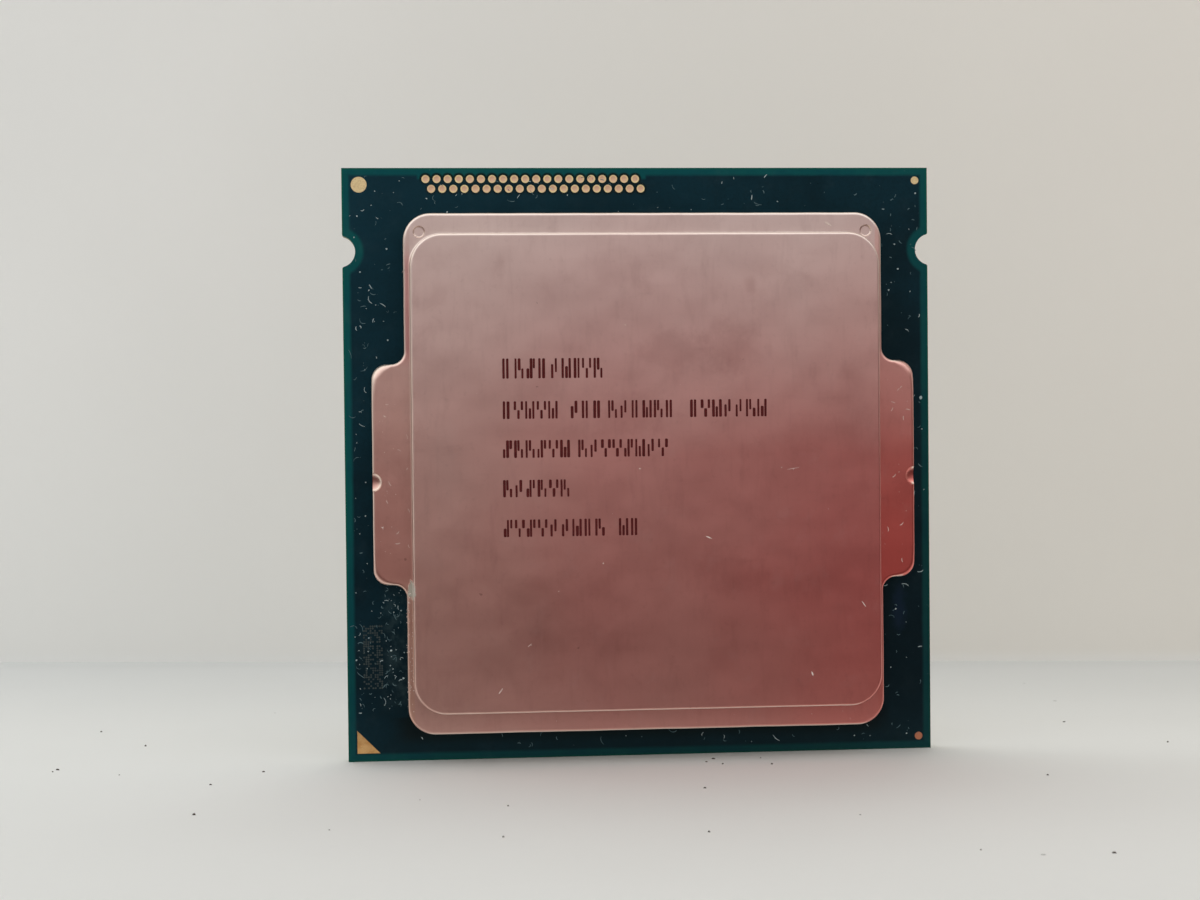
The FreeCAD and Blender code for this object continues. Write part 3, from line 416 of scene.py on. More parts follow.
    # grain of the plating
    grain = g.noise(9.0, 4.0, 0.7)
    fine = g.noise(34.0, 2.0, 0.6)
    h = g.m("ADD", g.m("MULTIPLY", grain, 0.5), g.m("MULTIPLY", fine, 0.35))
    h = g.m("ADD", h, g.m("MULTIPLY", pit, -0.5))
    wav = g.noise(0.16, 2.0, 0.5)
    n1 = g.bump(wav, 0.00035, 0.35)
    n2 = g.bump(h, 0.0000035, 0.8, n1)
    n3 = g.bump(crust, 0.00003, 0.8, n2)
    rough = g.m("ADD", LID_ROUGH, g.m("MULTIPLY", g.m("SUBTRACT", stain, 0.5), 0.12))
    rough = g.m("ADD", rough, g.m("MULTIPLY", g.m("SUBTRACT", grain, 0.5), 0.08))
    rough = g.m("ADD", rough, g.m("MULTIPLY", crust, 0.3), clamp=True)
    metal = g.m("SUBTRACT", 1.0, g.m("MULTIPLY", crust, 0.8))
    return g.set(color=base, metal=metal, rough=rough, normal=n3)


def mask_common(g, copper, deep, margin, side_tint, hazy=1.0):
    """Solder mask over copper: dark where copper lies under it, green where it doesn't."""
    patch = g.noise(0.16, 3.0, 0.6)
    grain = g.noise(5.0, 3.0, 0.6)
    dark = g.mix(g.step(patch, 0.35, 0.70), deep[0], deep[1])
    dark = g.mix(g.step(grain, 0.4, 0.75, 0.0, 0.35), dark, deep[2])
    pale = g.mix(g.step(g.noise(0.5, 2.0), 0.3, 0.7), margin[0], margin[1])
    base = g.mix(copper, pale, dark)
    # fine weave of the laminate just shows through
    wx = g.m("SINE", g.m("MULTIPLY", g.x, 2 * math.pi / 0.42))
    wz = g.m("SINE", g.m("MULTIPLY", g.z, 2 * math.pi / 0.42))
    weave = g.m("MULTIPLY", g.m("ADD", wx, wz), 0.25)
    peel = g.noise(1.6, 2.0, 0.5)
    height = g.m("ADD", g.m("MULTIPLY", copper, 0.9), g.m("MULTIPLY", weave, 0.05))
    height = g.m("ADD", height, g.m("MULTIPLY", peel, 0.22))
    height = g.m("ADD", height, g.m("MULTIPLY", grain, 0.10))
    n = g.bump(height, 0.000014, 0.9)
    mote = specks(g, 2.3, 0.16, 0.09, 4.0)
    base = g.mix(g.m("MULTIPLY", mote, 0.16 * hazy), base, srgb(150, 165, 165))
    haze = g.step(g.noise(0.7, 4.0, 0.65, g.vmath("ADD", g.mm, (21, 3, 5))), 0.50, 0.85, 0.0, 0.05)
    base = g.mix(haze, base, srgb(110, 125, 128))
    rough = g.m("ADD", 0.30, g.m("MULTIPLY", g.m("SUBTRACT", peel, 0.5), 0.10))
    rough = g.m("ADD", rough, g.m("MULTIPLY", haze, 2.0), clamp=True)
    # sawn sides of the mask sheet are plain green
    geo = g.node("ShaderNodeNewGeometry")
    ny = g.m("ABSOLUTE", g.split(geo.outputs["Normal"])[1])
    base = g.mix(g.step(ny, 0.3, 0.7), side_tint, base)
    return base, rough, n


def top_copper(g):
    """1 where the upper copper plane lies under the mask."""
    ax = g.m("ABSOLUTE", g.x)
    az = g.m("ABSOLUTE", g.z)
    edge = g.m("MAXIMUM", ax, az)
    wob = g.m("MULTIPLY", g.m("SUBTRACT", g.noise(1.3, 2.0), 0.5), 0.05)
    edge = g.m("ADD", edge, wob)
    inside = g.step(edge, COPPER - 0.16, COPPER + 0.10, 1.0, 0.0)
    nx = g.m("SUBTRACT", ax, 18.94)
    nz = g.m("SUBTRACT", g.z, 13.5)
    d = g.m("SQRT", g.m("ADD", g.m("MULTIPLY", nx, nx), g.m("MULTIPLY", nz, nz)))
    ring = g.step(g.m("ADD", d, wob), 1.38, 1.66)
    # the plane stops half way up the upper row of test pads
    sx = g.m("MULTIPLY", g.step(g.x, -14.1, -13.9), g.step(g.x, 0.42, 0.6, 1.0, 0.0))
    sz = g.step(g.z, 17.95, 18.12)
    strip = g.m("SUBTRACT", 1.0, g.m("MULTIPLY", sx, sz))
    return g.m("MULTIPLY", g.m("MULTIPLY", inside, ring), strip)


TEST_X0, TEST_Z0, TEST_P, TEST_DROP, TEST_R = -13.47, 18.05, 0.7005, 0.616, 0.255


def test_pad_distance(g):
    """Distance to the nearest test pad's centre."""
    near = None
    for row in range(2):
        x0 = TEST_X0 + 0.5 * row * TEST_P
        t = g.m("MULTIPLY", g.m("SUBTRACT", g.x, x0), 1 / TEST_P)
        t = g.m("MINIMUM", g.m("MAXIMUM", g.m("ROUND", t), 0.0), 19.0)
        dx = g.m("SUBTRACT", g.x, g.m("ADD", g.m("MULTIPLY", t, TEST_P), x0))
        dz = g.m("SUBTRACT", g.z, TEST_Z0 - row * TEST_DROP)
        d = g.m("SQRT", g.m("ADD", g.m("MULTIPLY", dx, dx), g.m("MULTIPLY", dz, dz)))
        near = d if near is None else g.m("MINIMUM", near, d)
    return near


def mask_top():
    g = Graph("solder_mask_lid_side")
    copper = top_copper(g)
    base, rough, n = mask_common(g, copper, TOP_DEEP, TOP_MARGIN, srgb(12, 60, 46))
    # the rim of the sheet is a clearer green, and painted shade makes a dark ring round each pad
    edge = g.m("MAXIMUM", g.m("ABSOLUTE", g.x), g.m("ABSOLUTE", g.z))
    base = g.mix(g.step(edge, 18.58, 18.72, 0.0, 0.75), base, srgb(14, 92, 72))
    pad_shade_ring = g.step(test_pad_distance(g), TEST_R + 0.08, TEST_R + 0.20, 1.0, 0.0)
    base = g.mix(g.m("MULTIPLY", pad_shade_ring, 0.9), base, srgb(13, 16, 11))
    # painted shade: it darkens towards the lower right
    lower_right_shade = g.m("ADD", g.m("MULTIPLY", g.x, 0.012), g.m("MULTIPLY", g.z, -0.016))
    base = g.mix(g.step(lower_right_shade, -0.30, 0.45, 0.0, 0.55), base, srgb(18, 20, 24))
    # painted shade: darkest just under the lid's lower edge and along its lower right side
    under = g.m("MULTIPLY", g.step(g.z, -17.95, -17.05), g.m("LESS_THAN", g.z, -16.0))
    under = g.m("MULTIPLY", under, g.step(g.m("ABSOLUTE", g.x), 14.6, 16.4, 1.0, 0.0))
    base = g.mix(g.m("MULTIPLY", g.m("MULTIPLY", under, copper), 0.88), base, srgb(18, 17, 17))
    beside = g.m("MULTIPLY", g.step(g.x, 15.3, 16.3, 1.0, 0.0), g.m("GREATER_THAN", g.x, 15.0))
    beside = g.m("MULTIPLY", beside, g.step(g.z, -8.0, -4.0, 1.0, 0.0))
    beside = g.m("MULTIPLY", beside, g.step(g.z, -17.3, -16.2))
    base = g.mix(g.m("MULTIPLY", beside, 0.75), base, srgb(17, 16, 18))
    # painted light: brighter and bluer at the top and left; hazy with dust at the lower left
    top_left_light = g.m("ADD", g.m("MULTIPLY", g.x, -0.02), g.m("MULTIPLY", g.z, 0.03))
    base = g.mix(g.m("MULTIPLY", copper, g.step(top_left_light, 0.25, 0.95, 0.0, 0.35)), base, srgb(24, 62, 78))
    dusty = g.m("MULTIPLY", g.step(g.x, -16.9, -15.9), g.m("LESS_THAN", g.x, -14.0))
    dusty = g.m("MULTIPLY", dusty, g.step(g.z, -9.0, -7.2, 1.0, 0.0))
    dusty = g.m("MULTIPLY", dusty, g.step(g.z, -16.2, -14.0))
    dusty = g.m("MULTIPLY", dusty, g.step(g.noise(1.6, 4.0, 0.65), 0.35, 0.75))
    base = g.mix(g.m("MULTIPLY", dusty, 0.18), base, srgb(96, 116, 118))
    # a faint bluish smudge at the right
    base = g.mix(g.m("MULTIPLY", blob(g, 16.75, -9.6, 0.55, 1.9, 0.4, 2.2), 0.35), base, srgb(36, 46, 74))
    return g.set(color=base, rough=rough, normal=n, ior=1.5, spec=0.14, spec_tint=(0.35, 0.9, 1.0, 1.0))


def mask_bottom():
    g = Graph("solder_mask_land_side")
    ax = g.m("ABSOLUTE", g.x)
    az = g.m("ABSOLUTE", g.z)
    lo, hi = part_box("copper_plane_bottom")
    bay = g.m(
        "MULTIPLY",
        g.step(ax, hi[0] / MM - 0.05, hi[0] / MM + 0.05, 1.0, 0.0),
        g.step(az, hi[2] / MM - 0.05, hi[2] / MM + 0.05, 1.0, 0.0),
    )
    # short escape traces run out between the lands
    px = g.m("ADD", g.m("MULTIPLY", g.x, 1 / 0.9144), 0.0)
    pz = g.m("ADD", g.m("MULTIPLY", g.z, 1 / 0.9144), 0.0)
    fx = g.m("ABSOLUTE", g.m("SUBTRACT", g.m("FRACT", px), 0.5))
    fz = g.m("ABSOLUTE", g.m("SUBTRACT", g.m("FRACT", pz), 0.5))
    near = g.m("MINIMUM", fx, fz)
    trace = g.step(near, 0.42, 0.45)
    swap = g.step(g.noise(0.45, 2.0), 0.47, 0.53)
    trace = g.m("MULTIPLY", trace, swap)
    copper = g.m("MAXIMUM", bay, g.m("MULTIPLY", trace, 0.6))
    base, rough, n = mask_common(
        g,
        copper,
        (srgb(14, 52, 50), srgb(18, 62, 58), srgb(12, 42, 42)),
        (srgb(16, 74, 66), srgb(22, 84, 74)),
        srgb(20, 62, 58),
        0.35,
    )
    return g.set(color=base, rough=rough, normal=n, ior=1.5, spec=0.45)


def gold(name, tint=(1.0, 1.0, 1.0), cell=None):
    """Soft gold plate over nickel; cell adds a contact mark to every land."""
    g = Graph(name)
    a = g.noise(1.1, 3.0, 0.6)
    b = g.noise(9.0, 3.0, 0.6)
    lo = tuple(c * t for c, t in zip(srgb(214, 170, 108), tint))
    hi = tuple(c * t for c, t in zip(srgb(238, 206, 150), tint))
    base = g.mix(g.step(a, 0.3, 0.7), lo, hi)
    base = g.mix(g.step(b, 0.55, 0.8, 0.0, 0.35), base, tuple(c * t for c, t in zip(srgb(176, 128, 78), tint)))
    height = g.m("ADD", g.m("MULTIPLY", b, 0.5), g.m("MULTIPLY", g.noise(30.0, 2.0), 0.3))
    rough = g.m("ADD", 0.30, g.m("MULTIPLY", g.m("SUBTRACT", b, 0.5), 0.22))
    if cell:
        px = g.m("SUBTRACT", g.m("FRACT", g.m("ADD", g.m("MULTIPLY", g.x, 1 / cell), 0.0)), 0.5)
        pz = g.m("SUBTRACT", g.m("FRACT", g.m("ADD", g.m("MULTIPLY", g.z, 1 / cell), 0.0)), 0.5)
        jig = g.noise(0.9, 0.0, 0.5, out=1)
        jx, jy, jz = g.split(jig)
        px = g.m("ADD", px, g.m("MULTIPLY", g.m("SUBTRACT", jx, 0.5), 0.25))
        pz = g.m("ADD", pz, g.m("MULTIPLY", g.m("SUBTRACT", jz, 0.5), 0.25))
        e = g.m("SQRT", g.m("ADD", g.m("MULTIPLY", g.m("MULTIPLY", px, px), 3.2), g.m("MULTIPLY", pz, pz)))
        mark = g.step(e, 0.07, 0.12, 1.0, 0.0)
        base = g.mix(g.m("MULTIPLY", mark, 0.45), base, srgb(150, 112, 70))
        height = g.m("SUBTRACT", height, g.m("MULTIPLY", mark, 1.2))
        rough = g.m("ADD", rough, g.m("MULTIPLY", mark, 0.15))
    n = g.bump(height, 0.000006, 0.8)
    return g.set(color=base, metal=0.85, rough=rough, normal=n)


def corner_gold():
    """Corner pads: pale gold at the top, coppery at the lower right."""
    g = Graph("gold_corner_pads")
    b = g.noise(9.0, 3.0, 0.6)
    base = g.mix(g.step(b, 0.35, 0.75), srgb(250, 232, 180), srgb(226, 202, 150))
    low = g.m("MULTIPLY", g.m("LESS_THAN", g.z, 0.0), g.m("GREATER_THAN", g.x, 0.0))
    base = g.mix(low, base, srgb(178, 114, 86))
    return g.set(color=base, metal=0.7, rough=0.40, normal=g.bump(b, 0.000006, 0.6))


def test_gold():
    """Gold of the test pads: a paler raised rim round a pinker, probed middle."""
    g = Graph("gold_test_pads")
    d = test_pad_distance(g)
    a = g.noise(1.1, 2.0, 0.6)
    b = g.noise(12.0, 3.0, 0.6)
    rim = g.step(d, TEST_R * 0.50, TEST_R * 0.82)
    base = g.mix(rim, srgb(238, 200, 168), srgb(252, 236, 178))
    base = g.mix(g.step(a, 0.42, 0.62, 0.0, 0.5), base, srgb(242, 206, 172))
    base = g.mix(g.step(b, 0.55, 0.8, 0.0, 0.25), base, srgb(196, 152, 108))
    h = g.m("ADD", g.m("MULTIPLY", g.step(d, TEST_R * 0.3, TEST_R * 0.8), 1.0), g.m("MULTIPLY", b, 0.25))
    n = g.bump(h, 0.000012, 0.8)
    return g.set(color=base, metal=0.7, rough=0.40, normal=n)


def plated(name, light, dark, rough0, scale=6.0, metal=0.9):
    """Tin, solder and copper: a grainy metal with dull patches."""
    g = Graph(name)
    a = g.noise(scale, 4.0, 0.62)
    b = g.noise(scale * 4, 2.0, 0.6)
    base = g.mix(g.step(a, 0.35, 0.7), light, dark)
    rough = g.m("ADD", rough0, g.m("MULTIPLY", g.m("SUBTRACT", a, 0.5), 0.3))
    n = g.bump(g.m("ADD", a, g.m("MULTIPLY", b, 0.4)), 0.00001, 0.8)
    return g.set(color=base, metal=metal, rough=rough, normal=n)


def ceramic():
    g = Graph("fired_ceramic")
    a = g.noise(2.2, 4.0, 0.6)
    b = g.noise(24.0, 3.0, 0.7)
    base = g.mix(g.step(a, 0.3, 0.7), srgb(148, 118, 88), srgb(122, 94, 68))
    base = g.mix(g.step(b, 0.5, 0.8, 0.0, 0.4), base, srgb(96, 72, 52))
    n = g.bump(b, 0.000008, 0.8)
    return g.set(color=base, rough=0.42, normal=n, ior=1.6)


def laminate(name, weave_a, weave_b, resin):
    """Sawn edge of the board: glass bundles in resin, with saw lines."""
    g = Graph(name)
    geo = g.node("ShaderNodeNewGeometry")
    nx = g.m("ABSOLUTE", g.split(geo.outputs["Normal"])[0])
    along = g.mixf(g.step(nx, 0.4, 0.6), g.x, g.z)
    ply = g.m("SINE", g.m("MULTIPLY", g.y, 2 * math.pi / 0.19))
    tow = g.m("SINE", g.m("ADD", g.m("MULTIPLY", along, 2 * math.pi / 0.62), g.m("MULTIPLY", ply, 1.4)))
    band = g.step(g.m("ADD", g.m("MULTIPLY", ply, 0.6), g.m("MULTIPLY", tow, 0.45)), -0.3, 0.5)
    base = g.mix(band, weave_a, weave_b)
    dirt = g.noise(1.4, 5.0, 0.65)
    base = g.mix(g.step(dirt, 0.45, 0.75, 0.0, 0.6), base, resin)
    saw = g.noise(3.0, 3.0, 0.7, g.join(g.m("MULTIPLY", along, 6.0), g.m("MULTIPLY", g.y, 0.8), 0.0))
    pick = g.noise(26.0, 3.0, 0.7)
    h = g.m("ADD", g.m("MULTIPLY", saw, 0.7), g.m("MULTIPLY", pick, 0.5))
    n = g.bump(h, 0.00003, 0.9)
    return g.set(color=base, rough=0.62, normal=n, ior=1.5)


def film():
    """Build-up dielectric, seen only as a thin line on the sawn edge."""
    g = Graph("buildup_film")
    a = g.noise(3.0, 4.0, 0.6)
    base = g.mix(g.step(a, 0.3, 0.7), srgb(30, 88, 78), srgb(22, 64, 60))
    n = g.bump(g.noise(22.0, 2.0), 0.00001, 0.8)
    return g.set(color=base, rough=0.5, normal=n, ior=1.5)


def rubbery(name, light, dark, rough):
    g = Graph(name)
    a = g.noise(1.2, 4.0, 0.6)
    b = g.noise(16.0, 3.0, 0.6)
    base = g.mix(g.step(a, 0.3, 0.7), light, dark)
    n = g.bump(b, 0.00002, 0.8)
    return g.set(color=base, rough=rough, normal=n, ior=1.42)


def laser_mark():
    """Laser-oxidised strokes: a dull red-brown with ragged cover."""
    g = Graph("laser_strokes")
    a = g.noise(4.0, 4.0, 0.7)
    b = g.noise(22.0, 3.0, 0.7)
    base = g.mix(g.step(a, 0.3, 0.7), srgb(78, 16, 18), srgb(96, 28, 28))
    base = g.mix(g.step(b, 0.58, 0.8, 0.0, 0.30), base, srgb(128, 70, 68))
    n = g.bump(b, 0.00001, 0.9)
    return g.set(color=base, metal=0.2, rough=0.6, normal=n, spec=0.25)


def code_dots():
    """Faint grey ink of the dot block on the mask."""
    g = Graph("code_dots")
    a = g.noise(1.5, 4.0, 0.65)
    base = g.mix(g.step(a, 0.3, 0.7), srgb(46, 60, 60), srgb(26, 44, 47))
    n = g.bump(g.noise(20.0, 2.0), 0.00001, 0.6)
    return g.set(color=base, rough=0.65, normal=n)


def silicon():
    g = Graph("polished_silicon")
    a = g.noise(0.8, 3.0, 0.5)
    base = g.mix(g.step(a, 0.3, 0.7), srgb(70, 74, 84), srgb(92, 94, 100))
    return g.set(color=base, metal=0.7, rough=0.16, normal=g.bump(g.noise(12.0, 2.0), 0.000002, 0.6))


M_NICKEL = nickel()
M_MASK_TOP = mask_top()
M_MASK_LOW = mask_bottom()
M_GOLD = corner_gold()
M_TEST = test_gold()
M_GOLD_LAND = gold("gold_lands", cell=0.9144)
# painted shade: the marker's gold is tinted darker and browner
M_GOLD_MARK = gold("gold_marker", tint=(0.72, 0.61, 0.52))
M_TIN = plated("matt_tin", srgb(214, 214, 210), srgb(176, 176, 172), 0.36)
M_SOLDER = plated("bright_solder", srgb(206, 208, 210), srgb(150, 152, 156), 0.26)
M_COPPER = plated("bare_copper", srgb(206, 128, 92), srgb(160, 92, 62), 0.34)
M_CERAMIC = ceramic()
M_CORE = laminate("sawn_core", srgb(120, 128, 84), srgb(164, 164, 118), srgb(62, 78, 58))
M_FILM = film()
M_SEAL = rubbery("black_silicone", srgb(26, 26, 28), srgb(14, 14, 16), 0.55)
M_PASTE = rubbery("grey_compound", srgb(150, 150, 152), srgb(120, 121, 124), 0.6)
M_FILL = rubbery("cured_epoxy", srgb(34, 38, 48), srgb(22, 24, 32), 0.3)
M_LASER = laser_mark()
M_DOTS = code_dots()
M_SILICON = silicon()

CAD_LOOKS = {
    "lid_sealant": M_SEAL,
    "thermal_interface": M_PASTE,
    "silicon_die": M_SILICON,
    "die_underfill": M_FILL,
    "die_solder_bumps": M_SOLDER,
    "solder_mask_top": M_MASK_TOP,
    "copper_plane_top": M_COPPER,
    "buildup_layers_top": M_FILM,
    "core_copper_top": M_COPPER,
    "substrate_core": M_CORE,
    "core_vias": M_COPPER,
    "core_copper_bottom": M_COPPER,
    "buildup_layers_bottom": M_FILM,
    "copper_plane_bottom": M_COPPER,
    "solder_mask_bottom": M_MASK_LOW,
    "land_pads": M_GOLD_LAND,
    "test_pads": M_TEST,
    "corner_fiducial_pads": M_GOLD,
    "pin_one_marker": M_GOLD_MARK,
    "capacitor_solder_lands": M_TIN,
    "land_side_capacitor_bodies": M_CERAMIC,
    "land_side_capacitor_end_caps": M_TIN,
    "land_side_capacitor_solder_joints": M_SOLDER,
    "die_side_capacitor_bodies": M_CERAMIC,
    "die_side_capacitor_end_caps": M_TIN,
    "die_side_capacitor_solder_joints": M_SOLDER,
    "heat_spreader": M_NICKEL,
}
for name, mat in CAD_LOOKS.items():
    o = NODES[name]
    for i in range(max(1, len(o.material_slots))):
        if len(o.material_slots) <= i:
            o.data.materials.append(mat)
        o.material_slots[i].link = "OBJECT"
        o.material_slots[i].material = mat


def ease_edges(name, width, angle=35, segments=2):
    """Round a CAD node's sharp edges a little, without touching its mesh."""
    o = NODES[name]
    w = o.modifiers.new("weld", "WELD")
    w.merge_threshold = 1e-7
    b = o.modifiers.new("ease", "BEVEL")
    b.width = width * MM
    b.segments = segments
    b.limit_method = "ANGLE"
    b.angle_limit = math.radians(angle)
    b.harden_normals = False
    n = o.modifiers.new("normals", "WEIGHTED_NORMAL")
    n.keep_sharp = True


# ---------------------------------------------------------------------------
# Lid: a smooth shell in place of the CAD solid
# ---------------------------------------------------------------------------
def arc(cx, cy, r, a0, a1, n, flip=False, tag=0.0):
    """(point, outward normal, tag) along an arc; flip turns a hollow corner's normal.
    The tag swells towards the arc's middle."""
    out = []
    for i in range(n + 1):
        a = math.radians(a0 + (a1 - a0) * i / n)
        c, s = math.cos(a), math.sin(a)
        nrm = (-c, -s) if flip else (c, s)
        out.append(((cx + r * c, cy + r * s), nrm, tag * (0.55 + 0.45 * math.sin(math.pi * i / n))))
    return out


def dense(loop, spacing):
    """Adds points along the straight runs. A tag dies away along them."""
    out = []
    n = len(loop)
    for i in range(n):
        (p, a, t), (q, b, u) = loop[i], loop[(i + 1) % n]
        out.append(loop[i])
        d = math.hypot(q[0] - p[0], q[1] - p[1])
        k = int(d / spacing)
        for j in range(1, k):
            f = j / k
            nx, ny = a[0] * (1 - f) + b[0] * f, a[1] * (1 - f) + b[1] * f
            m = math.hypot(nx, ny)
            out.append(
                (
                    (p[0] + (q[0] - p[0]) * f, p[1] + (q[1] - p[1]) * f),
                    (nx / m, ny / m),
                    t * math.exp(-d * f / 0.55) + u * math.exp(-d * (1 - f) / 0.55),
                )
            )
    return out


def flange_loop(n=14):
    pts = []
    pts += arc(LW - RC, -LL + RC, RC, -90, 0, n)
    pts += arc(LW + RN, -EL - RN, RN, 180, 90, n, True, 0.1)
    pts += arc(EW - RE, -EL + RE, RE, -90, 0, n, tag=0.55)
    pts += arc(EW - RE, EL - RE, RE, 0, 90, n, tag=1.0)
    pts += arc(LW + RN, EL + RN, RN, 270, 180, n, True, 0.1)
    pts += arc(LW - RC, LL - RC, RC, 0, 90, n)
    pts += arc(-LW + RC, LL - RC, RC, 90, 180, n)
    pts += arc(-LW - RN, EL + RN, RN, 0, -90, n, True, 0.1)
    pts += arc(-EW + RE, EL - RE, RE, 90, 180, n, tag=1.0)
    pts += arc(-EW + RE, -EL + RE, RE, 180, 270, n, tag=0.65)
    pts += arc(-LW - RN, -EL - RN, RN, 90, 0, n, True, 0.1)
    pts += arc(-LW + RC, -LL + RC, RC, 180, 270, n)
    return dense(pts, 0.35)


def rect_loop(hw, hl, r, n=14, spacing=0.5):
    pts = []
    pts += arc(hw - r, -hl + r, r, -90, 0, n)
    pts += arc(hw - r, hl - r, r, 0, 90, n)
    pts += arc(-hw + r, hl - r, r, 90, 180, n)
    pts += arc(-hw + r, -hl + r, r, 180, 270, n)
    return dense(pts, spacing)


def wander(x, y, seed):
    """A slow, small, repeatable waver of an edge."""
    return 0.5 * (
        math.sin(x * 0.83 + seed) * math.cos(y * 0.61 - seed * 1.3)
        + 0.5 * math.sin(x * 2.1 - y * 1.7 + seed * 2.1)
    )


def place(x, y, z):
    """Lid-plane millimetres to the frame: x right, y up the face, z out of the lid."""
    return Vector((x * MM, -z * MM, y * MM))


def ring(bm, loop, shift, inset, z, seed=None, amount=0.0):
    """One ring of vertices; inset and z may be functions of a point's tag."""
    out = []
    for (px, py), (nx, ny), tag in loop:
        d = inset(tag) if callable(inset) else inset
        h = z(tag) if callable(z) else z
        if seed is not None:
            d += amount * (wander(px, py, seed) + 0.6)
            # wavers only inwards, so that the shell keeps within the solid
        out.append(bm.verts.new(place(px - nx * d + ASIDE, py - ny * d + shift, h)))
    return out


def bridge(bm, a, b, flip=False):
    n = len(a)
    for i in range(n):
        j = (i + 1) % n
        quad = (a[i], a[j], b[j], b[i])
        bm.faces.new(quad if not flip else quad[::-1])


def fill(bm, loops):
    """Fills the flat ground between loops that lie in one plane."""
    edges = []
    for loop in loops:
        n = len(loop)
        for i in range(n):
            e = bm.edges.get((loop[i], loop[(i + 1) % n]))
            edges.append(e or bm.edges.new((loop[i], loop[(i + 1) % n])))
    bmesh.ops.triangle_fill(bm, use_beauty=True, use_dissolve=False, edges=edges)


def object_from(bm, name, material, smooth=True):
    bmesh.ops.recalc_face_normals(bm, faces=bm.faces)
    me = bpy.data.meshes.new(name)
    bm.to_mesh(me)
    bm.free()
    for p in me.polygons:
        p.use_smooth = smooth
    me.materials.append(material)
    o = bpy.data.objects.new(name, me)
    bpy.context.scene.collection.objects.link(o)
    return o


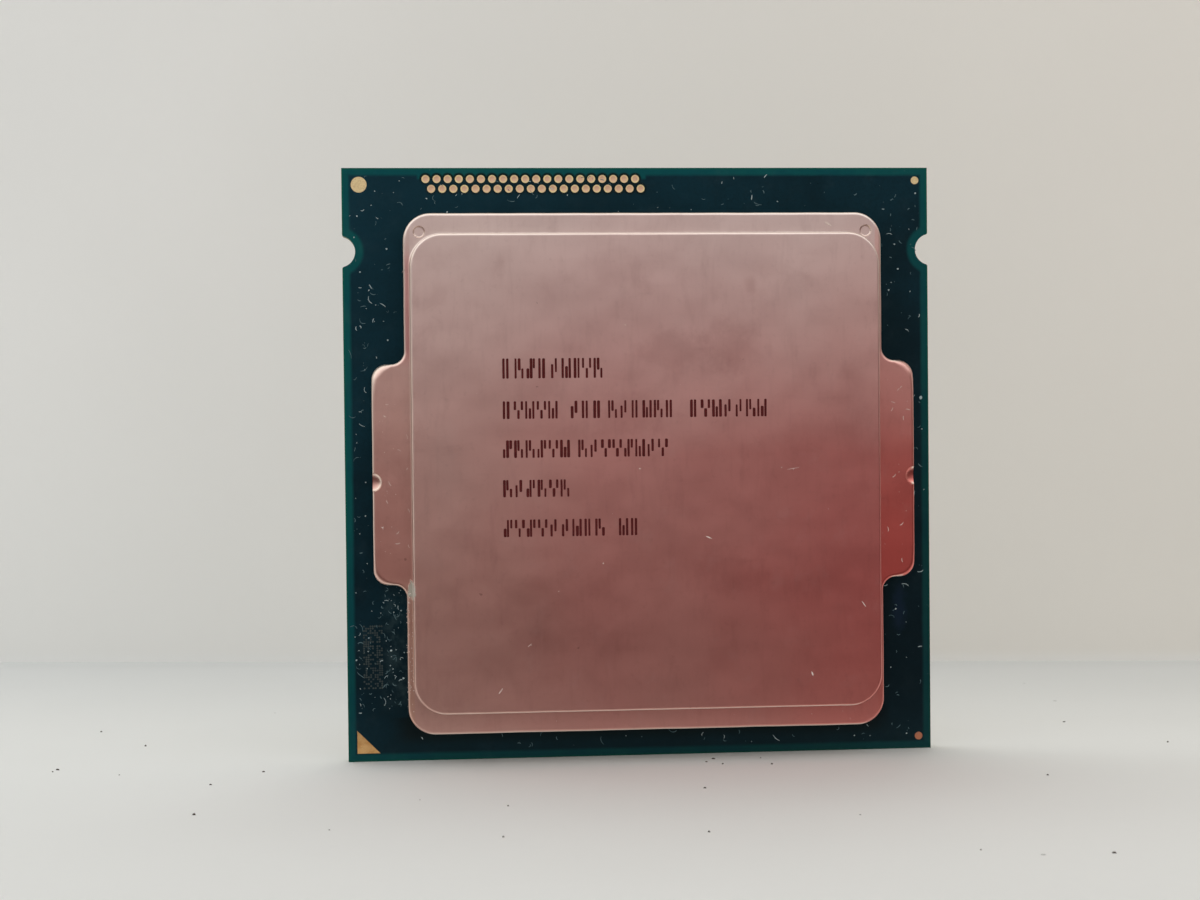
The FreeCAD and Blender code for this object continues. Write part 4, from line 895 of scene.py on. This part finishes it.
def build_lid():
    bm = bmesh.new()
    outer = flange_loop()
    face = rect_loop(FW, FL, FR)

    def edge_r(tag):
        return 0.18 + 0.34 * tag

    rings = []
    wob = dict(seed=1.7, amount=0.012)
    rings.append(ring(bm, outer, SHIFT, 0.07, LID_LOW))
    rings.append(ring(bm, outer, SHIFT, 0.02, LID_LOW + 0.02, **wob))
    rings.append(ring(bm, outer, SHIFT, 0.0, LID_LOW + 0.07, **wob))
    rings.append(ring(bm, outer, SHIFT, 0.0, LID_LOW + 0.7, **wob))
    steps = 10
    for i in range(steps + 1):
        a = math.pi / 2 * i / steps
        rings.append(
            ring(
                bm,
                outer,
                SHIFT,
                lambda t, a=a: edge_r(t) * (1 - math.cos(a)),
                lambda t, a=a: FLANGE_TOP - edge_r(t) * (1 - math.sin(a)),
                **wob,
            )
        )
    rings.append(ring(bm, outer, SHIFT, lambda t: edge_r(t) + 0.03, FLANGE_TOP, **wob))
    for a, b in zip(rings, rings[1:]):
        bridge(bm, a, b)
    flange_edge = rings[-1]

    wob = dict(seed=4.1, amount=0.010)
    foot = 0.12
    up = [ring(bm, face, FSHIFT, -foot - 0.025, FLANGE_TOP)]
    for i in range(7):
        a = math.pi / 2 * i / 6
        up.append(
            ring(bm, face, FSHIFT, -foot * (1 - math.sin(a)), FLANGE_TOP + foot * (1 - math.cos(a)))
        )
    top_r = 0.16
    up.append(ring(bm, face, FSHIFT, 0.0, LID_TOP - top_r - 0.05, **wob))
    for i in range(9):
        a = math.pi / 2 * i / 8
        up.append(
            ring(
                bm,
                face,
                FSHIFT,
                top_r * (1 - math.cos(a)),
                LID_TOP - top_r * (1 - math.sin(a)),
                **wob,
            )
        )
    up.append(ring(bm, face, FSHIFT, top_r + 0.03, LID_TOP, **wob))
    for a, b in zip(up, up[1:]):
        bridge(bm, a, b)

    # gauge dimples: shallow round sinks in the flange, near its upper corners
    dimples = []
    for sx in (-1, 1):
        cx, cy = 14.12 * sx, 14.58
        n = 40
        circle = [
            ((cx + 0.38 * math.cos(2 * math.pi * i / n), cy + 0.38 * math.sin(2 * math.pi * i / n)),
             (math.cos(2 * math.pi * i / n), math.sin(2 * math.pi * i / n)), 0.0)
            for i in range(n)
        ]
        levels = [
            ring(bm, circle, 0, -0.012, FLANGE_TOP),
            ring(bm, circle, 0, 0.0, FLANGE_TOP),
            ring(bm, circle, 0, 0.015, FLANGE_TOP - 0.012),
            ring(bm, circle, 0, 0.035, FLANGE_TOP - 0.05),
            ring(bm, circle, 0, 0.055, FLANGE_TOP - 0.085),
            ring(bm, circle, 0, 0.085, FLANGE_TOP - 0.1),
            ring(bm, circle, 0, 0.11, FLANGE_TOP - 0.1),
        ]
        for a, b in zip(levels, levels[1:]):
            bridge(bm, a, b)
        fill(bm, [levels[-1]])
        dimples.append(levels[0])
    fill(bm, [flange_edge, up[0]] + dimples)
    fill(bm, [up[-1]])

    # underside: the foot and the hollow over the die
    inner = rect_loop(12.3, 13.4, 1.2, 8, 3.0)
    lips = [
        ring(bm, inner, SHIFT, 0.0, LID_LOW),
        ring(bm, inner, SHIFT, 0.0, 1.9),
        ring(bm, inner, SHIFT, 0.1, 2.0),
    ]
    for a, b in zip(lips, lips[1:]):
        bridge(bm, a, b)
    fill(bm, [lips[-1]])
    fill(bm, [rings[0], lips[0]])
    lid = object_from(bm, "lid_shell", M_NICKEL)

    # dished half-round nick in each ear's outer edge
    for sx in (-1, 1):
        cb = bmesh.new()
        bmesh.ops.create_uvsphere(cb, u_segments=40, v_segments=24, radius=1.0)
        bmesh.ops.scale(cb, vec=(0.60 * MM, 0.35 * MM, 0.60 * MM), verts=cb.verts)
        bmesh.ops.translate(cb, vec=place(EW * sx + ASIDE, -1.0, FLANGE_TOP + 0.005), verts=cb.verts)
        bmesh.ops.recalc_face_normals(cb, faces=cb.faces)
        me = bpy.data.meshes.new("nick_cutter")
        cb.to_mesh(me)
        cb.free()
        cutter = bpy.data.objects.new("nick_cutter", me)
        bpy.context.scene.collection.objects.link(cutter)
        mod = lid.modifiers.new("nick", "BOOLEAN")
        mod.operation = "DIFFERENCE"
        mod.object = cutter
        mod.solver = "EXACT"
        bpy.context.view_layer.objects.active = lid
        bpy.ops.object.modifier_apply(modifier="nick")
        bpy.data.objects.remove(cutter, do_unlink=True)
    for p in lid.data.polygons:
        p.use_smooth = True
    # keep crisp only what is really crisp: the nicks and the underside
    bm = bmesh.new()
    bm.from_mesh(lid.data)
    for e in bm.edges:
        if len(e.link_faces) == 2 and e.calc_face_angle(0.0) > math.radians(38):
            e.smooth = False
    bm.to_mesh(lid.data)
    bm.free()
    w = lid.modifiers.new("normals", "WEIGHTED_NORMAL")
    w.mode = "FACE_AREA"
    w.weight = 80
    w.keep_sharp = True
    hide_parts("heat_spreader")
    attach(lid, "root")
    return lid


build_lid()


# ---------------------------------------------------------------------------
# Laser strokes on the lid: five rows of plain upright ticks, no characters
# ---------------------------------------------------------------------------
def slab_quad(bm, x0, y0, x1, y1, z0, z1, rnd, cut=0.25):
    """A very thin raised patch with softened corners."""
    c = min(x1 - x0, y1 - y0) * cut
    pts = [
        (x0 + c, y0), (x1 - c, y0), (x1, y0 + c), (x1, y1 - c),
        (x1 - c, y1), (x0 + c, y1), (x0, y1 - c), (x0, y0 + c),
    ]
    j = [(rnd.uniform(-0.006, 0.006), rnd.uniform(-0.006, 0.006)) for _ in pts]
    lo = [bm.verts.new(place(x + a, y + b, z0)) for (x, y), (a, b) in zip(pts, j)]
    hi = [bm.verts.new(place(x + a, y + b, z1)) for (x, y), (a, b) in zip(pts, j)]
    n = len(pts)
    for i in range(n):
        k = (i + 1) % n
        bm.faces.new((lo[i], lo[k], hi[k], hi[i]))
    bm.faces.new(lo[::-1])
    bm.faces.new(hi)


TICKS = [
    ((0.00, -0.5, 0.5), (0.22, -0.5, 0.1), (0.44, -0.5, 0.5)),
    ((0.00, -0.5, 0.5), (0.20, -0.1, 0.5), (0.42, -0.5, 0.0)),
    ((0.02, -0.5, 0.0), (0.22, -0.5, 0.5), (0.42, 0.0, 0.5)),
    ((0.04, -0.5, 0.5), (0.28, -0.5, 0.5)),
    ((0.00, 0.0, 0.5), (0.22, -0.5, 0.0), (0.44, 0.0, 0.5)),
    ((0.06, -0.5, 0.2), (0.30, -0.2, 0.5)),
]


def build_strokes():
    rnd = random.Random(41)
    bm = bmesh.new()
    # (middle height, tick height, first edge of each group, ticks' cells in it)
    rows = [
        (6.00, 1.25, ((-8.95, 1), (-8.15, 3), (-5.95, 3), (-3.95, 2))),
        (3.42, 1.10, ((-8.95, 5), (-4.75, 3), (-2.35, 6), (2.75, 7))),
        (1.00, 1.10, ((-8.95, 6), (-4.25, 8))),
        (-1.45, 1.08, ((-8.95, 6),)),
        (-3.92, 1.08, ((-8.95, 9), (-1.75, 2))),
    ]
    z0, z1 = LID_TOP - 0.002, LID_TOP + 0.004
    for yc, tall, groups in rows:
        for x, cells in groups:
            for _ in range(cells):
                for dx, lo, hi in rnd.choice(TICKS):
                    w = rnd.choice((0.13, 0.15, 0.15, 0.18))
                    slab_quad(
                        bm, x + dx, yc + lo * tall, x + dx + w, yc + hi * tall, z0, z1, rnd
                    )
                x += 0.715
    o = object_from(bm, "laser_ticks", M_LASER, smooth=False)
    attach(o, "root")
    return o


build_strokes()


# ---------------------------------------------------------------------------
# Dot block on the mask at the lower left: a plain random dot field
# ---------------------------------------------------------------------------
def build_dots():
    rnd = random.Random(7)
    bm = bmesh.new()
    x0, y0, cols, rows, p = -17.75, -14.15, 9, 29, 0.14
    for i in range(cols):
        for j in range(rows):
            if rnd.random() < 0.52:
                x, y = x0 + i * p, y0 + j * p
                slab_quad(bm, x, y, x + 0.115, y + 0.115, BOARD_TOP - 0.001, BOARD_TOP + 0.003, rnd)
    o = object_from(bm, "dot_block", M_DOTS, smooth=False)
    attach(o, "root")
    return o


build_dots()

# ---------------------------------------------------------------------------
# Dust: short curled fibres and grains that lie on the mask and the lid
# ---------------------------------------------------------------------------
def ribbon(bm, pts, widths, z0, z1):
    """A thin closed strip along a path in the lid's plane."""
    n = len(pts)
    rows = []
    for i, (x, y) in enumerate(pts):
        a = pts[max(i - 1, 0)]
        b = pts[min(i + 1, n - 1)]
        dx, dy = b[0] - a[0], b[1] - a[1]
        m = math.hypot(dx, dy) or 1.0
        ox, oy = -dy / m * widths[i] / 2, dx / m * widths[i] / 2
        rows.append(
            [
                bm.verts.new(place(x + ox, y + oy, z0)),
                bm.verts.new(place(x - ox, y - oy, z0)),
                bm.verts.new(place(x - ox, y - oy, z1)),
                bm.verts.new(place(x + ox, y + oy, z1)),
            ]
        )
    for a, b in zip(rows, rows[1:]):
        for k in range(4):
            m = (k + 1) % 4
            bm.faces.new((a[k], a[m], b[m], b[k]))
    bm.faces.new(rows[0][::-1])
    bm.faces.new(rows[-1])


def fibre(bm, rnd, x, y, length, curl, width, level):
    a = rnd.uniform(0, 2 * math.pi)
    n = 7
    pts, w = [], []
    for i in range(n):
        pts.append((x, y))
        w.append(width * (0.35 + 0.65 * math.sin(math.pi * (i + 0.6) / (n + 0.2))))
        a += curl / n + rnd.uniform(-0.15, 0.15)
        x += math.cos(a) * length / n
        y += math.sin(a) * length / n
    ribbon(bm, pts, w, level - 0.001, level + 0.006)


def grain_of_dust(bm, rnd, x, y, r, level):
    n = 7
    lo, hi = [], []
    sq, t = rnd.uniform(0.55, 1.0), rnd.uniform(0, math.pi)
    for i in range(n):
        a = 2 * math.pi * i / n
        k = r * rnd.uniform(0.7, 1.1)
        u, v = k * math.cos(a), k * sq * math.sin(a)
        px, py = x + u * math.cos(t) - v * math.sin(t), y + u * math.sin(t) + v * math.cos(t)
        lo.append(bm.verts.new(place(px, py, level - 0.001)))
        hi.append(bm.verts.new(place(x + (px - x) * 0.8, y + (py - y) * 0.8, level + 0.02)))
    bridge(bm, lo, hi)
    bm.faces.new(lo[::-1])
    bm.faces.new(hi)


def on_lid(x, y, grow):
    lx, ly = x - ASIDE, y - SHIFT
    return (abs(lx) < LW + grow and abs(ly) < LL + grow) or (
        abs(lx) < EW + grow and abs(ly) < EL + grow
    )


def build_dust():
    rnd = random.Random(1909)
    faint, clear = bmesh.new(), bmesh.new()
    # (x range, y range, fibres, grains) over the mask
    zones = [
        (-18.3, -16.4, -16.0, -7.6, 26, 18),
        (-16.5, -15.1, -15.6, -7.6, 40, 44),
        (-18.3, -17.3, -7.6, 6.8, 14, 14),
        (-18.3, -15.2, 6.8, 16.2, 26, 20),
        (-18.0, 18.2, 15.9, 18.2, 40, 26),
        (15.5, 18.3, 6.8, 16.2, 16, 10),
        (17.6, 18.4, -7.4, 6.8, 8, 8),
        (15.5, 18.3, -16.6, -7.6, 14, 9),
        (-17.0, 18.0, -18.2, -17.1, 22, 10),
    ]
    for x0, x1, y0, y1, fibres, grains in zones:
        done = 0
        while done < fibres:
            x, y = rnd.uniform(x0, x1), rnd.uniform(y0, y1)
            if on_lid(x, y, 0.35):
                continue
            big = rnd.random() < 0.25
            fibre(
                clear if rnd.random() < 0.28 else faint,
                rnd,
                x,
                y,
                rnd.uniform(0.35, 0.7) if big else rnd.uniform(0.15, 0.35),
                rnd.choice((-1, 1)) * rnd.uniform(0.4, 3.0),
                rnd.uniform(0.025, 0.05),
                BOARD_TOP,
            )
            done += 1
        done = 0
        while done < grains:
            x, y = rnd.uniform(x0, x1), rnd.uniform(y0, y1)
            if on_lid(x, y, 0.2):
                continue
            r = rnd.uniform(0.02, 0.045) if rnd.random() < 0.85 else rnd.uniform(0.05, 0.08)
            grain_of_dust(clear if r > 0.035 else faint, rnd, x, y, r, BOARD_TOP)
            done += 1
    # a few known larger pieces on the mask
    for x, y, r in ((18.25, 3.95, 0.13), (16.2, 10.9, 0.07), (17.6, 10.8, 0.06), (-16.9, 16.4, 0.05), (9.0, 16.6, 0.06)):
        grain_of_dust(clear, rnd, x, y, r, BOARD_TOP)
    o = object_from(faint, "faint_lint", M_LINT_FAINT, smooth=False)
    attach(o, "root")
    o = object_from(clear, "clear_lint", M_LINT_CLEAR, smooth=False)
    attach(o, "root")

    lid = bmesh.new()
    # grains and short scratches on the raised face: x, y, size
    for x, y, r in (
        (-1.22, 8.65, 0.05), (-0.39, -0.31, 0.06), (8.55, -0.35, 0.055), (-2.75, -6.18, 0.06),
        (-5.55, -7.88, 0.04), (9.3, -0.5, 0.03), (-2.15, -3.1, 0.03), (-7.3, -11.2, 0.03),
        (7.2, 11.6, 0.03), (-10.5, 4.5, 0.025), (2.2, 4.9, 0.025), (11.5, -3.0, 0.03),
    ):
        grain_of_dust(lid, rnd, x, y, r, LID_TOP)
    for x, y, a, length, w in (
        (4.1, -4.75, 2.75, 0.42, 0.07), (-9.35, -14.2, 0.95, 0.42, 0.06), (10.45, -13.5, 1.9, 0.30, 0.10),
        (13.85, -9.2, 2.2, 0.45, 0.05), (8.9, -0.48, 0.15, 0.8, 0.02), (-7.5, -11.3, 0.7, 0.3, 0.03),
    ):
        pts = [(x + math.cos(a) * length * i / 4, y + math.sin(a) * length * i / 4) for i in range(5)]
        ribbon(lid, pts, [w * k for k in (0.3, 0.8, 1.0, 0.7, 0.25)], LID_TOP - 0.001, LID_TOP + 0.003)
    pts = [(11.7 + 0.1 * i, 15.12 - 0.06 * i) for i in range(5)]
    ribbon(lid, pts, [0.05, 0.11, 0.14, 0.10, 0.04], FLANGE_TOP - 0.001, FLANGE_TOP + 0.004)
    # grit along the flange, thick at the lower left, and hairs on the ears
    for count, x0, x1, y0, y1, r0, r1 in (
        (70, -15.0, -14.58, -15.5, -7.8, 0.02, 0.055),
        (12, -14.95, -14.62, 6.8, 13.5, 0.015, 0.03),
        (14, -16.6, -14.9, -6.6, 5.2, 0.015, 0.035),
        (12, 15.2, 17.0, -6.6, 5.2, 0.015, 0.035),
        (12, -13.5, 14.0, 14.8, 15.5, 0.015, 0.03),
        (8, -13.5, 14.0, -16.5, -15.9, 0.015, 0.03),
    ):
        for _ in range(count):
            grain_of_dust(
                lid, rnd, rnd.uniform(x0, x1), rnd.uniform(y0, y1), rnd.uniform(r0, r1), FLANGE_TOP
            )
    for count, x0, x1, y0, y1 in (
        (9, -16.5, -15.0, -6.5, 5.0),
        (10, 15.2, 16.9, -6.5, 5.0),
        (5, -14.9, -14.7, -15.0, 13.0),
    ):
        for _ in range(count):
            fibre(
                lid,
                rnd,
                rnd.uniform(x0, x1),
                rnd.uniform(y0, y1),
                rnd.uniform(0.15, 0.4),
                rnd.uniform(-1.5, 1.5),
                0.03,
                FLANGE_TOP,
            )
    o = object_from(lid, "lid_lint", M_LINT_LID, smooth=False)
    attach(o, "root")


def lint(name, light, dark):
    g = Graph(name)
    base = g.mix(g.step(g.noise(3.0, 3.0, 0.6), 0.3, 0.7), light, dark)
    return g.set(color=base, rough=0.8, spec=0.2, normal=g.bump(g.noise(30.0, 2.0), 0.000006, 0.5))


M_LINT_FAINT = lint("faint_lint", srgb(112, 138, 144), srgb(66, 92, 100))
M_LINT_CLEAR = lint("clear_lint", srgb(205, 220, 222), srgb(150, 172, 178))
M_LINT_LID = lint("lid_lint", srgb(250, 236, 228), srgb(222, 196, 186))
build_dust()

for name, width in (
    ("land_side_capacitor_bodies", 0.03),
    ("land_side_capacitor_end_caps", 0.02),
    ("land_side_capacitor_solder_joints", 0.03),
    ("test_pads", 0.012),
    ("corner_fiducial_pads", 0.012),
    ("pin_one_marker", 0.012),
    ("capacitor_solder_lands", 0.005),
):
    ease_edges(name, width)


# ---------------------------------------------------------------------------
# Stage: pale floor, a pale wall that shows only from the front, soft light
# ---------------------------------------------------------------------------
def stage_material(name, base, warm, one_sided=False, shade=False):
    g = Graph(name)
    a = g.noise(0.02, 3.0, 0.5)
    b = g.noise(0.9, 3.0, 0.6)
    col = g.mix(g.step(a, 0.3, 0.7), base[0], base[1])
    col = g.mix(g.step(b, 0.4, 0.8, 0.0, 0.12), col, tuple(c * 0.95 for c in base[0]))
    # slightly warmer and dimmer towards the right
    col = g.mix(1.0, col, g.mix(g.step(g.x, -75.0, 75.0), (1.0, 1.0, 1.0), warm), "MULTIPLY")
    if one_sided:
        # painted shade: the wall dims softly towards the table, and a little more at its very foot
        col = g.mix(1.0, col, g.mix(g.step(g.z, -20.0, 22.0, 1.0, 0.0), (1.0, 1.0, 1.0), (0.955, 0.96, 0.955)), "MULTIPLY")
        col = g.mix(g.step(g.z, -18.8, -17.5, 0.45, 0.0), col, (0.84, 0.84, 0.83))
    if shade:
        # painted shade: the table dims towards the wall
        along = g.m("ADD", g.y, g.m("MULTIPLY", g.x, 0.167))
        deep = g.m("MULTIPLY", g.step(along, 2.0, 52.0), g.step(g.x, -82.0, -45.0, 0.45, 1.0))
        col = g.mix(1.0, col, g.mix(g.step(along, 43.0, 50.5), (1.0, 1.0, 1.0), (0.955, 0.955, 0.955)), "MULTIPLY")
        col = g.mix(1.0, col, g.mix(deep, (1.0, 1.0, 1.0), (0.80, 0.805, 0.81)), "MULTIPLY")
        # grit on the table
        grit = specks(g, 0.16, 0.30, 0.045, 3.0)
        flat = g.vmath("ADD", g.join(g.x, 0.0, g.y), (3.0, 0.0, 5.0))
        c = g.cells(0.19, flat)
        sep = g.node("ShaderNodeSeparateColor")
        g.put(sep.inputs[0], c.outputs["Color"])
        dot = g.step(c.outputs["Distance"], 0.020, 0.034, 1.0, 0.0)
        dot = g.m("MULTIPLY", dot, g.m("GREATER_THAN", sep.outputs[0], 0.62))
        col = g.mix(g.m("MULTIPLY", dot, 0.55), col, (0.10, 0.095, 0.09))
        # mirrored in the part, the table further forward is in the viewer's shade
        lp = g.node("ShaderNodeLightPath")
        far = g.step(g.m("MULTIPLY", g.y, -1.0), 10.0, 21.0)
        seen = g.m("MULTIPLY", far, lp.outputs["Is Glossy Ray"])
        col = g.mix(seen, col, (0.16, 0.075, 0.07))
        # close to the part the table sends a bright glint up into its lower edges
        near = g.step(g.m("MULTIPLY", g.y, -1.0), 5.0, 11.0, 1.0, 0.0)
        glint = g.m("MULTIPLY", g.m("MULTIPLY", near, lp.outputs["Is Glossy Ray"]), 0.32)
        g.put(g.bsdf.inputs["Emission Color"], (1.0, 0.93, 0.86))
        g.put(g.bsdf.inputs["Emission Strength"], glint)
    g.set(color=col, rough=0.8, normal=g.bump(b, 0.00004, 0.3), spec=0.15)
    if one_sided:
        geo = g.node("ShaderNodeNewGeometry")
        clear = g.node("ShaderNodeBsdfTransparent")
        mixer = g.node("ShaderNodeMixShader")
        lp = g.node("ShaderNodeLightPath")
        g.put(mixer.inputs[0], g.m("MAXIMUM", geo.outputs["Backfacing"], lp.outputs["Is Shadow Ray"]))
        # painted light: the wall glows faintly in its own colour
        g.put(g.bsdf.inputs["Emission Color"], col)
        g.put(g.bsdf.inputs["Emission Strength"], GLOW)
        g.t.links.new(g.bsdf.outputs[0], mixer.inputs[1])
        g.t.links.new(clear.outputs[0], mixer.inputs[2])
        g.t.links.new(mixer.outputs[0], g.out.inputs["Surface"])
    return g.mat


def quad(name, corners, material):
    me = bpy.data.meshes.new(name)
    me.from_pydata(corners, [], [(0, 1, 2, 3)])
    me.materials.append(material)
    o = bpy.data.objects.new(name, me)
    bpy.context.scene.collection.objects.link(o)
    return o


FLOOR = CAD_LO[2]
S = 1.2
quad(
    "floor",
    [(-S, -S, FLOOR), (S, -S, FLOOR), (S, S, FLOOR), (-S, S, FLOOR)],
    stage_material("pale_floor", FLOOR_TONES, (0.97, 0.96, 0.95), False, True),
)


def crumbs():
    """A few dark crumbs of grit lying on the table."""
    rnd = random.Random(77)
    bm = bmesh.new()
    for x, y, r in CRUMBS:
        n = 7
        t = rnd.uniform(0, math.pi)
        sq = rnd.uniform(0.35, 0.8)
        lo, hi = [], []
        for i in range(n):
            a = 2 * math.pi * i / n
            k = r * rnd.uniform(0.7, 1.1)
            u, v = k * math.cos(a), k * sq * math.sin(a)
            px, py = x + u * math.cos(t) - v * math.sin(t), y + u * math.sin(t) + v * math.cos(t)
            lo.append(bm.verts.new(Vector((px * MM, py * MM, FLOOR))))
            hi.append(bm.verts.new(Vector(((x + (px - x) * 0.6) * MM, (y + (py - y) * 0.6) * MM, FLOOR + 0.5 * r * MM))))
        bridge(bm, lo, hi)
        bm.faces.new(hi)
    me = bpy.data.meshes.new("crumbs")
    bmesh.ops.recalc_face_normals(bm, faces=bm.faces)
    bm.to_mesh(me)
    bm.free()
    g = Graph("dark_grit")
    me.materials.append(g.set(color=srgb(88, 80, 74), rough=0.8, spec=0.1))
    o = bpy.data.objects.new("crumbs", me)
    bpy.context.scene.collection.objects.link(o)


CRUMBS = (
    (-36.8, -1.3, 0.16), (-37.0, -2.0, 0.10), (-36.2, 14.6, 0.12), (-32.4, 7.7, 0.14), (-26.8, -8.2, 0.12),
    (-23.9, -4.0, 0.12), (-26.9, -17.8, 0.16), (30.6, 8.5, 0.12), (34.5, -1.3, 0.14), (23.1, -12.4, 0.12),
    (19.7, -34.9, 0.16), (-10.2, -26.5, 0.12), (0.6, -26.7, 0.14), (2.2, -13.7, 0.12), (-9.5, -17.7, 0.10),
    (4.2, -3.4, 0.13), (3.6, -4.5, 0.10), (4.5, -5.4, 0.12), (7.5, -5.9, 0.13), (4.9, -0.7, 0.10),
    (7.2, -3.5, 0.08), (-32.7, -3.8, 0.07), (-19.3, -23.3, 0.07), (9.4, -23.2, 0.07), (13.4, -33.2, 0.08),
    (-14.4, -15.1, 0.06),
)
crumbs()


def wall_y(x):
    return 0.0500 - 0.167 * x


quad(
    "wall",
    [
        (-S, wall_y(-S), FLOOR),
        (S, wall_y(S), FLOOR),
        (S, wall_y(S), FLOOR + 1.6),
        (-S, wall_y(-S), FLOOR + 1.6),
    ],
    stage_material("pale_wall", WALL_TONES, (0.955, 0.915, 0.87), True),
)


def area(name, loc, aim, size, radiance, color=(1, 1, 1)):
    """A soft panel; its power follows from its radiance."""
    lamp = bpy.data.lights.new(name, "AREA")
    lamp.shape = "RECTANGLE"
    lamp.size, lamp.size_y = size
    lamp.energy = radiance * math.pi * size[0] * size[1]
    lamp.color = color
    o = bpy.data.objects.new(name, lamp)
    o.location = loc
    o.rotation_mode = "QUATERNION"
    o.rotation_quaternion = (Vector(aim) - Vector(loc)).to_track_quat("-Z", "Y")
    bpy.context.scene.collection.objects.link(o)
    return o


area("key", (-0.10, 0.30, 0.50), (0, 0, 0), (0.80, 0.30), KEY, (1.0, 1.0, 0.985))

world = bpy.data.worlds.new("studio")
bpy.context.scene.world = world
world.use_nodes = True
wt = world.node_tree
wt.nodes.clear()


class Sky(Graph):
    """The same expressions, for the world's own tree."""

    def __init__(self, tree):
        self.t = tree


w = Sky(wt)
w_out = w.node("ShaderNodeOutputWorld")
w_bg = w.node("ShaderNodeBackground")
w.t.links.new(w_bg.outputs[0], w_out.inputs[0])
tc = w.node("ShaderNodeTexCoord")
dx, dy, dz = w.split(w.vmath("NORMALIZE", tc.outputs["Generated"]))
lp = w.node("ShaderNodeLightPath")
pale = w.mix(w.step(dx, -0.7, 0.8), (0.86, 0.88, 0.88), (0.86, 0.825, 0.785))
# what the part mirrors: open sky above, the dim red-brown viewer in front
sky = w.mix(w.step(dz, -0.1, 0.45), (0.80, 0.76, 0.72), (1.75, 1.75, 1.70))
shy = w.m("MULTIPLY", w.step(dx, 0.16, 0.50, 0.0, 0.90), w.step(dz, 0.25, 0.55, 1.0, 0.0))
sky = w.mix(shy, sky, (0.24, 0.15, 0.13))
leftward = w.m("MULTIPLY", w.step(dx, -0.55, -0.20, 1.0, 0.0), w.step(dz, -0.12, 0.34, 0.62, 0.0))
sky = w.mix(leftward, sky, (0.22, 0.17, 0.16))
high = w.mix(w.step(dx, -0.05, 0.30), CARD[0], CARD[1])
low = w.mix(w.step(dx, -0.05, 0.30), CARD[2], CARD[3])
card = w.mix(w.step(dz, -0.22, 0.14), low, high)
front = w.step(w.m("MULTIPLY", dy, -1.0), 0.78, 0.93)
mirrored = w.mix(front, sky, card)
w.put(w_bg.inputs[0], w.mix(lp.outputs["Is Glossy Ray"], pale, mirrored))
w_bg.inputs[1].default_value = WORLD

# ---------------------------------------------------------------------------
# Camera at the photograph's viewing angle
# ---------------------------------------------------------------------------
cam_data = bpy.data.cameras.new("camera")
cam_data.sensor_width = 36.0
cam_data.lens = 66.0
cam_data.clip_start, cam_data.clip_end = 0.005, 20.0
cam = bpy.data.objects.new("camera", cam_data)
bpy.context.scene.collection.objects.link(cam)
cam.rotation_mode = "QUATERNION"
cam_data.dof.use_dof = True
cam_data.dof.focus_distance = 0.1365
cam_data.dof.aperture_fstop = 180.0
cam.location = (-0.0154939, -0.1407109, 0.0038899)
cam.rotation_quaternion = (0.7138903, 0.6987124, -0.0286607, -0.0366079)
bpy.context.scene.camera = cam
bpy.context.scene.view_settings.view_transform = "Standard"
